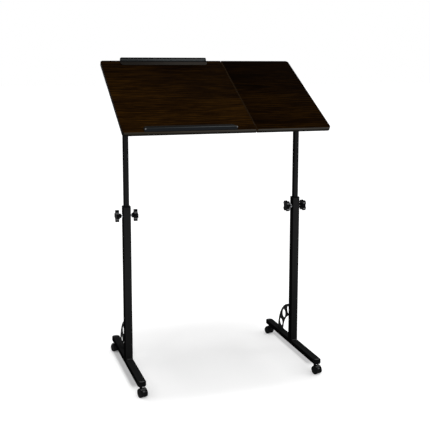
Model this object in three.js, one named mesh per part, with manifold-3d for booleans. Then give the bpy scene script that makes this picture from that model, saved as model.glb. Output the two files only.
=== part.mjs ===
import * as THREE from "three";
import { mergeVertices } from "three/addons/utils/BufferGeometryUtils.js";
import Module from "manifold-3d";

// A laptop desk: two tilting panels on a crossbar, carried by two telescopic legs on castors.
// Millimetres, +X to the right, +Y to the back and +Z up. The floor is at zero, and the origin
// is midway between the legs and midway along the feet.

const wasm = await Module();
wasm.setup();

// Clearances
const SEAT_GAP = 0.3;
const RUNNING_CLEARANCE = 0.4;
const CUT_OVERRUN = 5;

// Panels
const TOP_WIDTH = 800;
const SMALL_PANEL_WIDTH = 299;
const PANEL_SEAM = 2;
const PANEL_DEPTH = 500;
const PANEL_THICKNESS = 16;
const PANEL_CORNER_RADIUS = 12;
const PANEL_SEAM_RADIUS = 2;
const PANEL_EDGE_ROUND = 1.5;
const PANEL_SETBACK = 24;

// Ledges that stop a laptop or a book from sliding off
const LEDGE_DEPTH = 34;
const LEDGE_WALL = 2.6;
const LEDGE_TIP_WALL = 1.4;
const LEDGE_LIP_HEIGHT = 15;
const LEDGE_CORNER_RADIUS = 6;
const LEDGE_RIB_WIDTH = 3;
const LEDGE_RIB_REACH = 9;
const LEDGE_EDGE_INSET = 2;
const FRONT_LEDGE_LENGTH = 345;
const FRONT_LEDGE_CENTRE = -149;
const REAR_LEDGE_LENGTH = 356;
const REAR_LEDGE_CENTRE = -144;

// Tilt pivots
const TILT_ANGLE = THREE.MathUtils.degToRad(29.6);
const PIVOT_TO_UNDERSIDE = 20;
const PIVOT_RISE = 17;
const PIVOT_BOLT_DIAMETER = 8;
const SHEET_THICKNESS = 2.5;
const SADDLE_WIDTH = 36;
const SADDLE_DEPTH = 24;
const SADDLE_BEND_RADIUS = 4;
const MOUNT_PLATE_WIDTH = 64;
const MOUNT_PLATE_DEPTH = 96;
const MOUNT_PLATE_CORNER_RADIUS = 9;
const MOUNT_EAR_RADIUS = 12;
const MOUNT_EAR_ROOT_WIDTH = 40;
const MOUNT_SCREW_HOLE = 5;
const MOUNT_SCREW_INSET = 10;
const LARGE_BRACKET_SPREAD = 260;
const SMALL_BRACKET_SPREAD = 150;

// Fasteners
const NUT_WIDTH = 13;
const NUT_HEIGHT = 6.5;
const BOLT_HEAD_HEIGHT = 5.3;
const BOLT_TAIL = 2;
const STUD_DIAMETER = 8;

// Knobs
const CLAMP_KNOB_DIAMETER = 46;
const CLAMP_KNOB_WAIST = 31;
const CLAMP_KNOB_THICKNESS = 13;
const CLAMP_HUB_DIAMETER = 18;
const CLAMP_HUB_LENGTH = 8;
const CLAMP_KNOB_REACH = 42;
const CLAMP_KNOB_DROP = 33;
const TILT_KNOB_DIAMETER = 29;
const TILT_KNOB_WAIST = 21;
const TILT_KNOB_THICKNESS = 13;
const TILT_HUB_DIAMETER = 14;
const TILT_HUB_LENGTH = 6;
const KNOB_EDGE_ROUND = 2.5;
const KNOB_LOBES = 4;
const KNOB_POINTS_PER_LOBE = 6;

// Crossbar and inner tubes
const INNER_TUBE_SIZE = 20;
const INNER_TUBE_OVERLAP = 130;
const INNER_TUBE_EXTENSION = 342;
const CROSSBAR_SIZE = 20;
const CROSSBAR_OVERHANG = 13;
const CROSSBAR_CAP_THICKNESS = 4;
const CROSSBAR_SPIGOT_DEPTH = 14;
const TUBE_WALL = 1.5;
const TUBE_CORNER_RADIUS = 3;
const CAP_EDGE_ROUND = 1;
const GUIDE_HEAD_LENGTH = 12;
const GUIDE_SPIGOT_LENGTH = 15;

// Columns, set in from the top's sides and a little in front of the feet's middle
const COLUMN_INSET = 52;
const COLUMN_PLACE = -12;
const COLUMN_SIZE = 30;
const COLUMN_LENGTH = 600;
const COLLAR_FLANGE_THICKNESS = 4;
const COLLAR_SLEEVE_LENGTH = 22;
const INSERT_FLANGE_DIAMETER = 13.5;
const INSERT_FLANGE_THICKNESS = 1.2;
const INSERT_BODY_DIAMETER = 11;
const INSERT_DEPTH = 2.6;

// Feet
const FOOT_UNDERSIDE = 44;
const FOOT_HEIGHT = 18;
const FOOT_WIDTH = 32;
const FOOT_LENGTH = 525;
const FOOT_CAP_LENGTH = 15;
const FOOT_CAP_NOSE = 11;
const FOOT_SPIGOT_DEPTH = 4.5;

// Gusset behind each column
const GUSSET_RADIUS = 140;
const GUSSET_INNER_RADIUS = 90;
const GUSSET_THICKNESS = 4;
const GUSSET_HOLE_RADIUS = 114;
const GUSSET_HOLE_WIDTH = 36;
const GUSSET_MIDDLE_HOLE_LENGTH = 40;
const GUSSET_END_HOLE_LENGTH = 30;
const GUSSET_HOLE_STEP = THREE.MathUtils.degToRad(27.5);

// Castors
const CASTOR_INSET = 28;
const CASTOR_TRAIL = 11;
const CASTOR_REST_ANGLE = THREE.MathUtils.degToRad(18);
const WHEEL_DIAMETER = 31;
const WHEEL_WIDTH = 9.3;
const WHEEL_EDGE_ROUND = 2.5;
const WHEEL_DISH_DEPTH = 1;
const WHEEL_DISH_RADIUS = 9.5;
const WHEEL_BORE_DEPTH = 7;
const AXLE_DIAMETER = 5;
const HOOD_WEB_WIDTH = 9;
const HOOD_WEB_RADIUS = 12.2;
const HOOD_COVER_WIDTH = 22;
const HOOD_COVER_WALL = 1.8;
const HOOD_WHEEL_CLEARANCE = 1;
const HOOD_COVER_START = THREE.MathUtils.degToRad(-10);
const HOOD_COVER_END = THREE.MathUtils.degToRad(125);
const HOOD_BOSS_DIAMETER = 11;
const HOOD_BOSS_BOTTOM = 19.5;
const STEM_PIN_DIAMETER = 6;
const STEM_PIN_BOTTOM = 23;
const STEM_NECK_DIAMETER = 9;
const STEM_THREAD_LENGTH = 12;

// Facets
const QUARTER_TURN = Math.PI / 2;
const CORNER_FACETS = 2;
const PANEL_CORNER_FACETS = 5;
const ROUND_FACETS = 16;
const HALF_ROUND_FACETS = 8;
const SMALL_ROUND_FACETS = 8;
const HEX_SIDES = 6;
const WHEEL_FACETS = 18;
const ARC_FACETS = 12;

// Levels and places worked out from the sizes above
const columnSpacing = TOP_WIDTH - 2 * COLUMN_INSET;
const stemSpread = FOOT_LENGTH - 2 * CASTOR_INSET;
const footTop = FOOT_UNDERSIDE + FOOT_HEIGHT;
const columnBottom = footTop + SEAT_GAP;
const columnTop = columnBottom + COLUMN_LENGTH;
const collarTop = columnTop + SEAT_GAP + COLLAR_FLANGE_THICKNESS;
const clampKnobHeight = columnTop - CLAMP_KNOB_DROP;
const innerTubeTop = collarTop + INNER_TUBE_EXTENSION;
const innerTubeBottom = columnTop - INNER_TUBE_OVERLAP;
const crossbarBottom = innerTubeTop + SEAT_GAP;
const crossbarTop = crossbarBottom + CROSSBAR_SIZE;
const pivotHeight = crossbarTop + PIVOT_RISE;
const columnBore = COLUMN_SIZE - 2 * TUBE_WALL;
const innerTubeBore = INNER_TUBE_SIZE - 2 * TUBE_WALL;
const largePanelWidth = TOP_WIDTH - PANEL_SEAM - SMALL_PANEL_WIDTH;
const largePanelCentre = (largePanelWidth - TOP_WIDTH) / 2;
const smallPanelCentre = (TOP_WIDTH - SMALL_PANEL_WIDTH) / 2;
const panelSurface = PIVOT_TO_UNDERSIDE + PANEL_THICKNESS;
const wheelRadius = WHEEL_DIAMETER / 2;
const wheelInnerFace = HOOD_WEB_WIDTH / 2 + RUNNING_CLEARANCE;
const hoodOuterRadius = wheelRadius + HOOD_WHEEL_CLEARANCE + HOOD_COVER_WALL;
const hoodTop = wheelRadius + hoodOuterRadius;

// Materials, one for each finish
function finish(color, roughness, metalness) {
  return new THREE.MeshStandardMaterial({ color, roughness, metalness });
}

const WOOD = finish(0x2a1708, 0.55, 0);
const BLACK_STEEL = finish(0x1c1c1e, 0.45, 0.4);
const BLACK_PLASTIC = finish(0x161617, 0.6, 0);
const LEDGE_PLASTIC = finish(0x24262b, 0.5, 0);
const ZINC_STEEL = finish(0x9a9ca0, 0.35, 0.9);
const WHEEL_PLASTIC = finish(0x131314, 0.55, 0);

// Welds shared vertices, drops collapsed triangles, turns the faces outward and makes a solid.
function solidFrom(geometry) {
  geometry.deleteAttribute("normal");
  geometry.deleteAttribute("uv");
  const welded = mergeVertices(geometry);
  const vertices = welded.attributes.position;
  const triangles = [];
  const corner = [new THREE.Vector3(), new THREE.Vector3(), new THREE.Vector3()];
  let volume = 0;
  for (let i = 0; i < welded.index.count; i += 3) {
    const indices = [0, 1, 2].map((step) => welded.index.getX(i + step));
    if (new Set(indices).size === 3) {
      triangles.push(indices);
      indices.forEach((index, step) => corner[step].fromBufferAttribute(vertices, index));
      volume += corner[0].dot(corner[1].clone().cross(corner[2]));
    }
  }
  const turned = volume < 0 ? triangles.map(([a, b, c]) => [a, c, b]) : triangles;
  return new wasm.Manifold(new wasm.Mesh({
    numProp: 3,
    vertProperties: vertices.array,
    triVerts: new Uint32Array(turned.flat()),
  }));
}

// A geometry for a mesh, from a solid.
function geometryFrom(solid) {
  const mesh = solid.getMesh();
  const geometry = new THREE.BufferGeometry();
  geometry.setAttribute("position", new THREE.BufferAttribute(mesh.vertProperties, 3));
  geometry.setIndex(new THREE.BufferAttribute(mesh.triVerts, 1));
  geometry.computeVertexNormals();
  return geometry;
}

// Joins solids into one.
function joined(...solids) {
  return solids.reduce((whole, solid) => whole.add(solid));
}

// Axes that carry a shape drawn as (y, z), (z, x) or (x, y), for prisms along X, Y and Z.
const ALONG_X = new THREE.Matrix4().makeBasis(
  new THREE.Vector3(0, 1, 0),
  new THREE.Vector3(0, 0, 1),
  new THREE.Vector3(1, 0, 0),
);
const ALONG_Y = new THREE.Matrix4().makeBasis(
  new THREE.Vector3(0, 0, 1),
  new THREE.Vector3(1, 0, 0),
  new THREE.Vector3(0, 1, 0),
);
const ALONG_Z = new THREE.Matrix4();

// A straight prism of a shape from start to end along one axis. Each arc of the shape gets the
// given number of facets, twice its curve segments, and end edges are rounded where
// round is given. The shape is the outline inside the rounding.
function prism(shape, start, end, direction, facets, round = 0) {
  const geometry = new THREE.ExtrudeGeometry(shape, {
    depth: end - start - 2 * round,
    curveSegments: facets / 2,
    bevelEnabled: round > 0,
    bevelThickness: round,
    bevelSize: round,
    bevelSegments: 2,
  });
  geometry.translate(0, 0, start + round);
  geometry.applyMatrix4(direction);
  return solidFrom(geometry);
}

// A prism's solid moved by a distance along each axis.
function moved(solid, x, y, z) {
  return solid.translate([x, y, z]);
}

// Outline of a rectangle centred on the origin, with its own corner radius at each side.
function roundedRectangle(width, height, radius, rightRadius = radius) {
  const shape = new THREE.Shape();
  const right = width / 2 - rightRadius;
  const left = radius - width / 2;
  const rightTop = height / 2 - rightRadius;
  const leftTop = height / 2 - radius;
  shape.absarc(right, rightTop, rightRadius, 0, QUARTER_TURN, false);
  shape.absarc(left, leftTop, radius, QUARTER_TURN, 2 * QUARTER_TURN, false);
  shape.absarc(left, -leftTop, radius, 2 * QUARTER_TURN, 3 * QUARTER_TURN, false);
  shape.absarc(right, -rightTop, rightRadius, 3 * QUARTER_TURN, 4 * QUARTER_TURN, false);
  return shape;
}

// Outline of a circle, centred on the origin unless a centre is given.
function circle(radius, across = 0, up = 0) {
  const shape = new THREE.Shape();
  shape.absarc(across, up, radius, 0, 4 * QUARTER_TURN, false);
  return shape;
}

// Outline of a hexagon by its width across flats.
function hexagon(width) {
  const radius = width / 2 / Math.cos(Math.PI / HEX_SIDES);
  const shape = new THREE.Shape();
  for (let side = 0; side < HEX_SIDES; side += 1) {
    const angle = (2 * Math.PI * side) / HEX_SIDES;
    const step = side === 0 ? "moveTo" : "lineTo";
    shape[step](radius * Math.cos(angle), radius * Math.sin(angle));
  }
  shape.closePath();
  return shape;
}

// Section of a rectangular tube, open through its middle.
function tubeSection(width, height) {
  const shape = roundedRectangle(width, height, TUBE_CORNER_RADIUS);
  const inner = TUBE_CORNER_RADIUS - TUBE_WALL;
  shape.holes.push(roundedRectangle(width - 2 * TUBE_WALL, height - 2 * TUBE_WALL, inner));
  return shape;
}

// Section of a plug that slides into a rectangular bore.
function plugSection(width, height) {
  const radius = TUBE_CORNER_RADIUS - TUBE_WALL;
  return roundedRectangle(width - 2 * RUNNING_CLEARANCE, height - 2 * RUNNING_CLEARANCE, radius);
}

// A named mesh of a solid, added to its group.
function addPiece(parent, name, solid, material) {
  const mesh = new THREE.Mesh(geometryFrom(solid), material);
  mesh.name = name;
  parent.add(mesh);
  return mesh;
}

// One top panel, with wide corners on its outer side and tight ones along the seam.
function panelSolid(width, outerLeft) {
  const inset = 2 * PANEL_EDGE_ROUND;
  const outerRadius = PANEL_CORNER_RADIUS - PANEL_EDGE_ROUND;
  const seamRadius = PANEL_SEAM_RADIUS;
  const outline = roundedRectangle(
    width - inset,
    PANEL_DEPTH - inset,
    outerLeft ? outerRadius : seamRadius,
    outerLeft ? seamRadius : outerRadius,
  );
  const solid = prism(
    outline,
    PIVOT_TO_UNDERSIDE,
    panelSurface,
    ALONG_Z,
    PANEL_CORNER_FACETS,
    PANEL_EDGE_ROUND,
  );
  return moved(solid, outerLeft ? largePanelCentre : smallPanelCentre, PANEL_SETBACK, 0);
}

// A moulded ledge: a flange on the panel that thins towards its tip, a lip along one edge and
// a small rib inside each end. The flange runs from the lip towards +Y, or -Y when facing is -1.
function ledgeSolid(length, centre, facing) {
  const section = new THREE.Shape();
  const round = LEDGE_WALL / 2;
  section.moveTo(0, 0);
  section.lineTo(LEDGE_DEPTH, 0);
  section.lineTo(LEDGE_DEPTH, LEDGE_TIP_WALL);
  section.lineTo(2 * LEDGE_WALL, LEDGE_WALL);
  section.lineTo(LEDGE_WALL, 2 * LEDGE_WALL);
  section.lineTo(LEDGE_WALL, LEDGE_LIP_HEIGHT - round);
  section.absarc(round, LEDGE_LIP_HEIGHT - round, round, 0, 2 * QUARTER_TURN, false);
  section.closePath();
  const bar = prism(section, -length / 2, length / 2, ALONG_X, HALF_ROUND_FACETS);

  const rib = new THREE.Shape();
  rib.moveTo(0, 0);
  rib.lineTo(LEDGE_RIB_REACH, 0);
  rib.lineTo(LEDGE_RIB_REACH, LEDGE_WALL);
  rib.lineTo(LEDGE_WALL, LEDGE_LIP_HEIGHT - LEDGE_WALL);
  rib.lineTo(0, LEDGE_LIP_HEIGHT - LEDGE_WALL);
  rib.closePath();
  const ribs = [-1, 1].map((side) => {
    const end = (side * length) / 2;
    const inner = end - side * LEDGE_RIB_WIDTH;
    return prism(rib, Math.min(end, inner), Math.max(end, inner), ALONG_X, CORNER_FACETS);
  });

  // Seen from the front, the lip's upper corners are rounded.
  const front = new THREE.Shape();
  const turnHeight = LEDGE_LIP_HEIGHT - LEDGE_CORNER_RADIUS;
  const turn = length / 2 - LEDGE_CORNER_RADIUS;
  front.moveTo(-CUT_OVERRUN, length / 2);
  front.lineTo(-CUT_OVERRUN, -length / 2);
  front.absarc(turnHeight, -turn, LEDGE_CORNER_RADIUS, 3 * QUARTER_TURN, 4 * QUARTER_TURN, false);
  front.absarc(turnHeight, turn, LEDGE_CORNER_RADIUS, 0, QUARTER_TURN, false);
  front.closePath();
  const envelope = prism(
    front,
    -CUT_OVERRUN,
    LEDGE_DEPTH + CUT_OVERRUN,
    ALONG_Y,
    CORNER_FACETS,
  );
  const ledge = joined(bar, ...ribs).intersect(envelope);
  const faced = facing > 0 ? ledge : ledge.mirror([0, 1, 0]);
  const lipPlace = PANEL_DEPTH / 2 - LEDGE_EDGE_INSET;
  return moved(faced, centre, PANEL_SETBACK - facing * lipPlace, panelSurface + SEAT_GAP);
}

// A bracket ear's outline about the pivot: round at the pivot and straight to its root.
function earOutline(radius, rootWidth, rootLevel) {
  const shape = new THREE.Shape();
  const below = rootLevel < 0;
  const start = below ? 0 : 2 * QUARTER_TURN;
  const side = below ? 1 : -1;
  shape.absarc(0, 0, radius, start, start + 2 * QUARTER_TURN, false);
  shape.lineTo((-side * rootWidth) / 2, rootLevel);
  shape.lineTo((side * rootWidth) / 2, rootLevel);
  shape.closePath();
  return shape;
}

// A round bar along X, centred on the pivot or the axle that it follows.
function barAlongX(diameter, start, end, facets = ROUND_FACETS) {
  return prism(circle(diameter / 2), start, end, ALONG_X, facets);
}

// The saddle that stands on the crossbar: sheet bent to a channel, its two ears round at the
// pivot. A knobbed saddle has a nut welded to its left ear for the knob's stud.
function saddleSolid(knobbed) {
  const base = SEAT_GAP - PIVOT_RISE;
  const half = SADDLE_WIDTH / 2;
  const earTop = SADDLE_DEPTH / 2;
  const bend = SADDLE_BEND_RADIUS;
  const inner = bend - SHEET_THICKNESS;
  const innerHalf = half - SHEET_THICKNESS;
  const channel = new THREE.Shape();
  channel.moveTo(earTop, -half);
  channel.absarc(base + bend, -half + bend, bend, 3 * QUARTER_TURN, 2 * QUARTER_TURN, true);
  channel.absarc(base + bend, half - bend, bend, 2 * QUARTER_TURN, QUARTER_TURN, true);
  channel.lineTo(earTop, half);
  channel.lineTo(earTop, innerHalf);
  channel.absarc(base + bend, innerHalf - inner, inner, QUARTER_TURN, 2 * QUARTER_TURN, false);
  channel.absarc(base + bend, inner - innerHalf, inner, 2 * QUARTER_TURN, 3 * QUARTER_TURN, false);
  channel.lineTo(earTop, -innerHalf);
  channel.closePath();
  const sheet = prism(channel, -earTop, earTop, ALONG_Y, CORNER_FACETS);
  const side = earOutline(earTop, SADDLE_DEPTH, base - CUT_OVERRUN);
  const blank = sheet.intersect(prism(side, -half, half, ALONG_X, HALF_ROUND_FACETS));
  const nut = prism(
    hexagon(NUT_WIDTH),
    -half - NUT_HEIGHT,
    SHEET_THICKNESS / 2 - half,
    ALONG_X,
    HEX_SIDES,
  );
  const bore = PIVOT_BOLT_DIAMETER + 2 * RUNNING_CLEARANCE;
  const cut = half + NUT_HEIGHT + CUT_OVERRUN;
  return (knobbed ? joined(blank, nut) : blank).subtract(barAlongX(bore, -cut, cut));
}

// The plate under a panel, with two ears that hang between the saddle's.
function mountPlateSolid() {
  const top = PIVOT_TO_UNDERSIDE - SEAT_GAP;
  const under = top - SHEET_THICKNESS;
  const outline = roundedRectangle(MOUNT_PLATE_WIDTH, MOUNT_PLATE_DEPTH, MOUNT_PLATE_CORNER_RADIUS);
  const plate = prism(outline, under, top, ALONG_Z, CORNER_FACETS);
  const ear = earOutline(MOUNT_EAR_RADIUS, MOUNT_EAR_ROOT_WIDTH, top);
  const outer = SADDLE_WIDTH / 2 - SHEET_THICKNESS - RUNNING_CLEARANCE;
  const inner = outer - SHEET_THICKNESS;
  const ears = [-outer, inner].map((start) => (
    prism(ear, start, start + SHEET_THICKNESS, ALONG_X, HALF_ROUND_FACETS)
  ));
  const bore = barAlongX(PIVOT_BOLT_DIAMETER + 2 * RUNNING_CLEARANCE, -outer - CUT_OVERRUN, outer + CUT_OVERRUN);
  const across = MOUNT_PLATE_WIDTH / 2 - MOUNT_SCREW_INSET;
  const along = MOUNT_PLATE_DEPTH / 2 - MOUNT_SCREW_INSET;
  const holes = [-1, 1].flatMap((side) => [-1, 1].map((end) => (
    prism(
      circle(MOUNT_SCREW_HOLE / 2, side * across, end * along),
      under - CUT_OVERRUN,
      top + CUT_OVERRUN,
      ALONG_Z,
      SMALL_ROUND_FACETS,
    )
  )));
  return holes.reduce((solid, hole) => solid.subtract(hole), joined(plate, ...ears).subtract(bore));
}

// A plain pivot bolt with its head on the left and its nut on the right.
function pivotBoltSolid() {
  const face = SADDLE_WIDTH / 2 + SEAT_GAP;
  const head = prism(hexagon(NUT_WIDTH), -face - BOLT_HEAD_HEIGHT, -face, ALONG_X, HEX_SIDES);
  const nut = prism(hexagon(NUT_WIDTH), face, face + NUT_HEIGHT, ALONG_X, HEX_SIDES);
  const shank = barAlongX(
    PIVOT_BOLT_DIAMETER,
    -face - BOLT_HEAD_HEIGHT / 2,
    face + NUT_HEIGHT + BOLT_TAIL,
  );
  return joined(head, nut, shank);
}

// Outline of a lobed knob, its radius swinging between the lobes' tips and the waist.
function lobedOutline(diameter, waist) {
  const mean = (diameter + waist) / 4;
  const swing = (diameter - waist) / 4;
  const count = KNOB_LOBES * KNOB_POINTS_PER_LOBE;
  const shape = new THREE.Shape();
  for (let point = 0; point < count; point += 1) {
    const angle = (2 * Math.PI * point) / count;
    const radius = mean + swing * Math.cos(KNOB_LOBES * angle) - KNOB_EDGE_ROUND;
    const step = point === 0 ? "moveTo" : "lineTo";
    shape[step](radius * Math.cos(angle), radius * Math.sin(angle));
  }
  shape.closePath();
  return shape;
}

// A lobed knob on a hub with its stud moulded in, along +X. The places are along the stud.
function knobSolid(size, waist, hubDiameter, places) {
  const head = prism(
    lobedOutline(size, waist),
    places.head,
    places.tip,
    ALONG_X,
    CORNER_FACETS,
    KNOB_EDGE_ROUND,
  );
  const hub = barAlongX(hubDiameter, places.hub, places.head + KNOB_EDGE_ROUND);
  const stud = barAlongX(places.studDiameter, places.studEnd, places.head, SMALL_ROUND_FACETS);
  return joined(head, hub, stud);
}

// The knob whose stud goes through a pivot into the nut on the saddle's left ear.
function tiltKnobSolid() {
  const hub = SADDLE_WIDTH / 2 + SEAT_GAP;
  const head = hub + TILT_HUB_LENGTH;
  return knobSolid(TILT_KNOB_DIAMETER, TILT_KNOB_WAIST, TILT_HUB_DIAMETER, {
    hub,
    head,
    tip: head + TILT_KNOB_THICKNESS,
    studDiameter: PIVOT_BOLT_DIAMETER,
    studEnd: -SADDLE_WIDTH / 2 - NUT_HEIGHT - BOLT_TAIL,
  });
}

// The knob whose stud presses on the inner tube through the column's threaded insert.
function clampKnobSolid() {
  const head = CLAMP_KNOB_REACH - CLAMP_KNOB_THICKNESS;
  return knobSolid(CLAMP_KNOB_DIAMETER, CLAMP_KNOB_WAIST, CLAMP_HUB_DIAMETER, {
    hub: head - CLAMP_HUB_LENGTH,
    head,
    tip: CLAMP_KNOB_REACH,
    studDiameter: STUD_DIAMETER,
    studEnd: INNER_TUBE_SIZE / 2 + SEAT_GAP,
  });
}

// The hollow crossbar, open at both ends.
function crossbarSolid() {
  const half = columnSpacing / 2 + CROSSBAR_OVERHANG;
  const tube = prism(tubeSection(CROSSBAR_SIZE, CROSSBAR_SIZE), -half, half, ALONG_X, CORNER_FACETS);
  return moved(tube, 0, 0, crossbarBottom + CROSSBAR_SIZE / 2);
}

// A cap for the crossbar's right end, its spigot pointing left.
function crossbarCapSolid() {
  const face = roundedRectangle(
    CROSSBAR_SIZE - 2 * CAP_EDGE_ROUND,
    CROSSBAR_SIZE - 2 * CAP_EDGE_ROUND,
    TUBE_CORNER_RADIUS - CAP_EDGE_ROUND,
  );
  const bore = CROSSBAR_SIZE - 2 * TUBE_WALL;
  const head = prism(
    face,
    SEAT_GAP,
    SEAT_GAP + CROSSBAR_CAP_THICKNESS,
    ALONG_X,
    CORNER_FACETS,
    CAP_EDGE_ROUND,
  );
  const spigot = prism(
    plugSection(bore, bore),
    -CROSSBAR_SPIGOT_DEPTH,
    SEAT_GAP + CROSSBAR_CAP_THICKNESS / 2,
    ALONG_X,
    CORNER_FACETS,
  );
  return joined(head, spigot);
}

// The inner tube of one telescope.
function innerTubeSolid() {
  const section = tubeSection(INNER_TUBE_SIZE, INNER_TUBE_SIZE);
  return prism(section, innerTubeBottom, innerTubeTop, ALONG_Z, CORNER_FACETS);
}

// The plug at the inner tube's lower end, which guides it in the column.
function guidePlugSolid() {
  const headTop = innerTubeBottom - SEAT_GAP;
  const head = prism(
    plugSection(columnBore, columnBore),
    headTop - GUIDE_HEAD_LENGTH,
    headTop,
    ALONG_Z,
    CORNER_FACETS,
  );
  const spigot = prism(
    plugSection(innerTubeBore, innerTubeBore),
    headTop - GUIDE_HEAD_LENGTH / 2,
    innerTubeBottom + GUIDE_SPIGOT_LENGTH,
    ALONG_Z,
    CORNER_FACETS,
  );
  return joined(head, spigot);
}

// The outer column, with a threaded insert in its left and right faces for the clamp knobs.
function columnSolid() {
  const half = COLUMN_SIZE / 2;
  const tube = prism(
    tubeSection(COLUMN_SIZE, COLUMN_SIZE),
    columnBottom,
    columnTop,
    ALONG_Z,
    CORNER_FACETS,
  );
  const face = half + INSERT_FLANGE_THICKNESS;
  const flange = barAlongX(INSERT_FLANGE_DIAMETER, half - TUBE_WALL / 2, face);
  const inside = half - TUBE_WALL - INSERT_DEPTH;
  const body = barAlongX(INSERT_BODY_DIAMETER, inside, half, SMALL_ROUND_FACETS);
  const insert = moved(joined(flange, body), 0, 0, clampKnobHeight);
  const bore = barAlongX(
    STUD_DIAMETER + 2 * RUNNING_CLEARANCE,
    -face - CUT_OVERRUN,
    face + CUT_OVERRUN,
    SMALL_ROUND_FACETS,
  );
  const pair = joined(insert, insert.mirror([1, 0, 0]));
  return joined(tube, pair).subtract(moved(bore, 0, 0, clampKnobHeight));
}

// The collar bush in the column's mouth: a flange on the rim and a sleeve round the inner tube.
function collarSolid() {
  const flangeBottom = columnTop + SEAT_GAP;
  const flange = prism(
    roundedRectangle(
      COLUMN_SIZE - 2 * CAP_EDGE_ROUND,
      COLUMN_SIZE - 2 * CAP_EDGE_ROUND,
      TUBE_CORNER_RADIUS - CAP_EDGE_ROUND,
    ),
    flangeBottom,
    collarTop,
    ALONG_Z,
    CORNER_FACETS,
    CAP_EDGE_ROUND,
  );
  const sleeve = prism(
    plugSection(columnBore, columnBore),
    flangeBottom - COLLAR_SLEEVE_LENGTH,
    flangeBottom + COLLAR_FLANGE_THICKNESS / 2,
    ALONG_Z,
    CORNER_FACETS,
  );
  const boreSize = INNER_TUBE_SIZE + 2 * RUNNING_CLEARANCE;
  const bore = prism(
    roundedRectangle(boreSize, boreSize, TUBE_CORNER_RADIUS),
    flangeBottom - COLLAR_SLEEVE_LENGTH - CUT_OVERRUN,
    collarTop + CUT_OVERRUN,
    ALONG_Z,
    CORNER_FACETS,
  );
  return joined(flange, sleeve).subtract(bore);
}

// The foot bar: a tube along Y with a nut inside its floor for each castor stem.
function footBarSolid() {
  const half = FOOT_LENGTH / 2 - FOOT_CAP_LENGTH;
  const centre = FOOT_UNDERSIDE + FOOT_HEIGHT / 2;
  const section = tubeSection(FOOT_HEIGHT, FOOT_WIDTH);
  const tube = moved(prism(section, -half, half, ALONG_Y, CORNER_FACETS), 0, 0, centre);
  const floor = FOOT_UNDERSIDE + TUBE_WALL;
  return [-1, 1].reduce((bar, end) => {
    const place = (end * stemSpread) / 2;
    const nut = prism(hexagon(NUT_WIDTH), floor - TUBE_WALL / 2, floor + NUT_HEIGHT, ALONG_Z, HEX_SIDES);
    const bore = prism(
      circle(STUD_DIAMETER / 2 + RUNNING_CLEARANCE),
      FOOT_UNDERSIDE - CUT_OVERRUN,
      floor + NUT_HEIGHT + CUT_OVERRUN / 2,
      ALONG_Z,
      SMALL_ROUND_FACETS,
    );
    return joined(bar, moved(nut, 0, place, 0)).subtract(moved(bore, 0, place, 0));
  }, tube);
}

// A foot bar's front cap: a round-nosed block with a spigot in the tube.
function footCapSolid() {
  const half = FOOT_WIDTH / 2 - CAP_EDGE_ROUND;
  const barEnd = FOOT_LENGTH / 2 - FOOT_CAP_LENGTH;
  const noseStart = FOOT_LENGTH / 2 - FOOT_CAP_NOSE;
  const nose = FOOT_CAP_NOSE - CAP_EDGE_ROUND;
  const plan = new THREE.Shape();
  plan.moveTo(half, -barEnd - SEAT_GAP - CAP_EDGE_ROUND);
  plan.lineTo(-half, -barEnd - SEAT_GAP - CAP_EDGE_ROUND);
  plan.absellipse(0, -noseStart, half, nose, 2 * QUARTER_TURN, 4 * QUARTER_TURN, false, 0);
  plan.closePath();
  const head = prism(plan, FOOT_UNDERSIDE, footTop, ALONG_Z, HALF_ROUND_FACETS, CAP_EDGE_ROUND);
  const bore = plugSection(FOOT_HEIGHT - 2 * TUBE_WALL, FOOT_WIDTH - 2 * TUBE_WALL);
  const spigot = prism(
    bore,
    -noseStart,
    FOOT_SPIGOT_DEPTH - barEnd,
    ALONG_Y,
    CORNER_FACETS,
  );
  return joined(head, moved(spigot, 0, 0, FOOT_UNDERSIDE + FOOT_HEIGHT / 2));
}

// The openwork gusset in the corner of column and foot: a quarter ring with three oval holes
// that follow its arc.
function gussetSolid() {
  const ring = new THREE.Shape();
  ring.absarc(0, 0, GUSSET_RADIUS, 0, QUARTER_TURN, false);
  ring.absarc(0, 0, GUSSET_INNER_RADIUS, QUARTER_TURN, 0, true);
  ring.closePath();
  for (const step of [-1, 0, 1]) {
    const angle = QUARTER_TURN / 2 + step * GUSSET_HOLE_STEP;
    const length = step === 0 ? GUSSET_MIDDLE_HOLE_LENGTH : GUSSET_END_HOLE_LENGTH;
    const hole = new THREE.Path();
    hole.absellipse(
      GUSSET_HOLE_RADIUS * Math.cos(angle),
      GUSSET_HOLE_RADIUS * Math.sin(angle),
      GUSSET_HOLE_WIDTH / 2,
      length / 2,
      0,
      4 * QUARTER_TURN,
      true,
      angle,
    );
    ring.holes.push(hole);
  }
  const half = GUSSET_THICKNESS / 2;
  const plate = prism(ring, -half, half, ALONG_X, ARC_FACETS);
  return moved(plate, 0, COLUMN_SIZE / 2 + SEAT_GAP, footTop + SEAT_GAP);
}

// Outline of a part of a ring, seen along the axle, from one angle to another.
function ringPart(innerRadius, outerRadius, start, end) {
  const shape = new THREE.Shape();
  shape.absarc(0, 0, outerRadius, start, end, false);
  shape.absarc(0, 0, innerRadius, end, start, true);
  shape.closePath();
  return shape;
}

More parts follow.
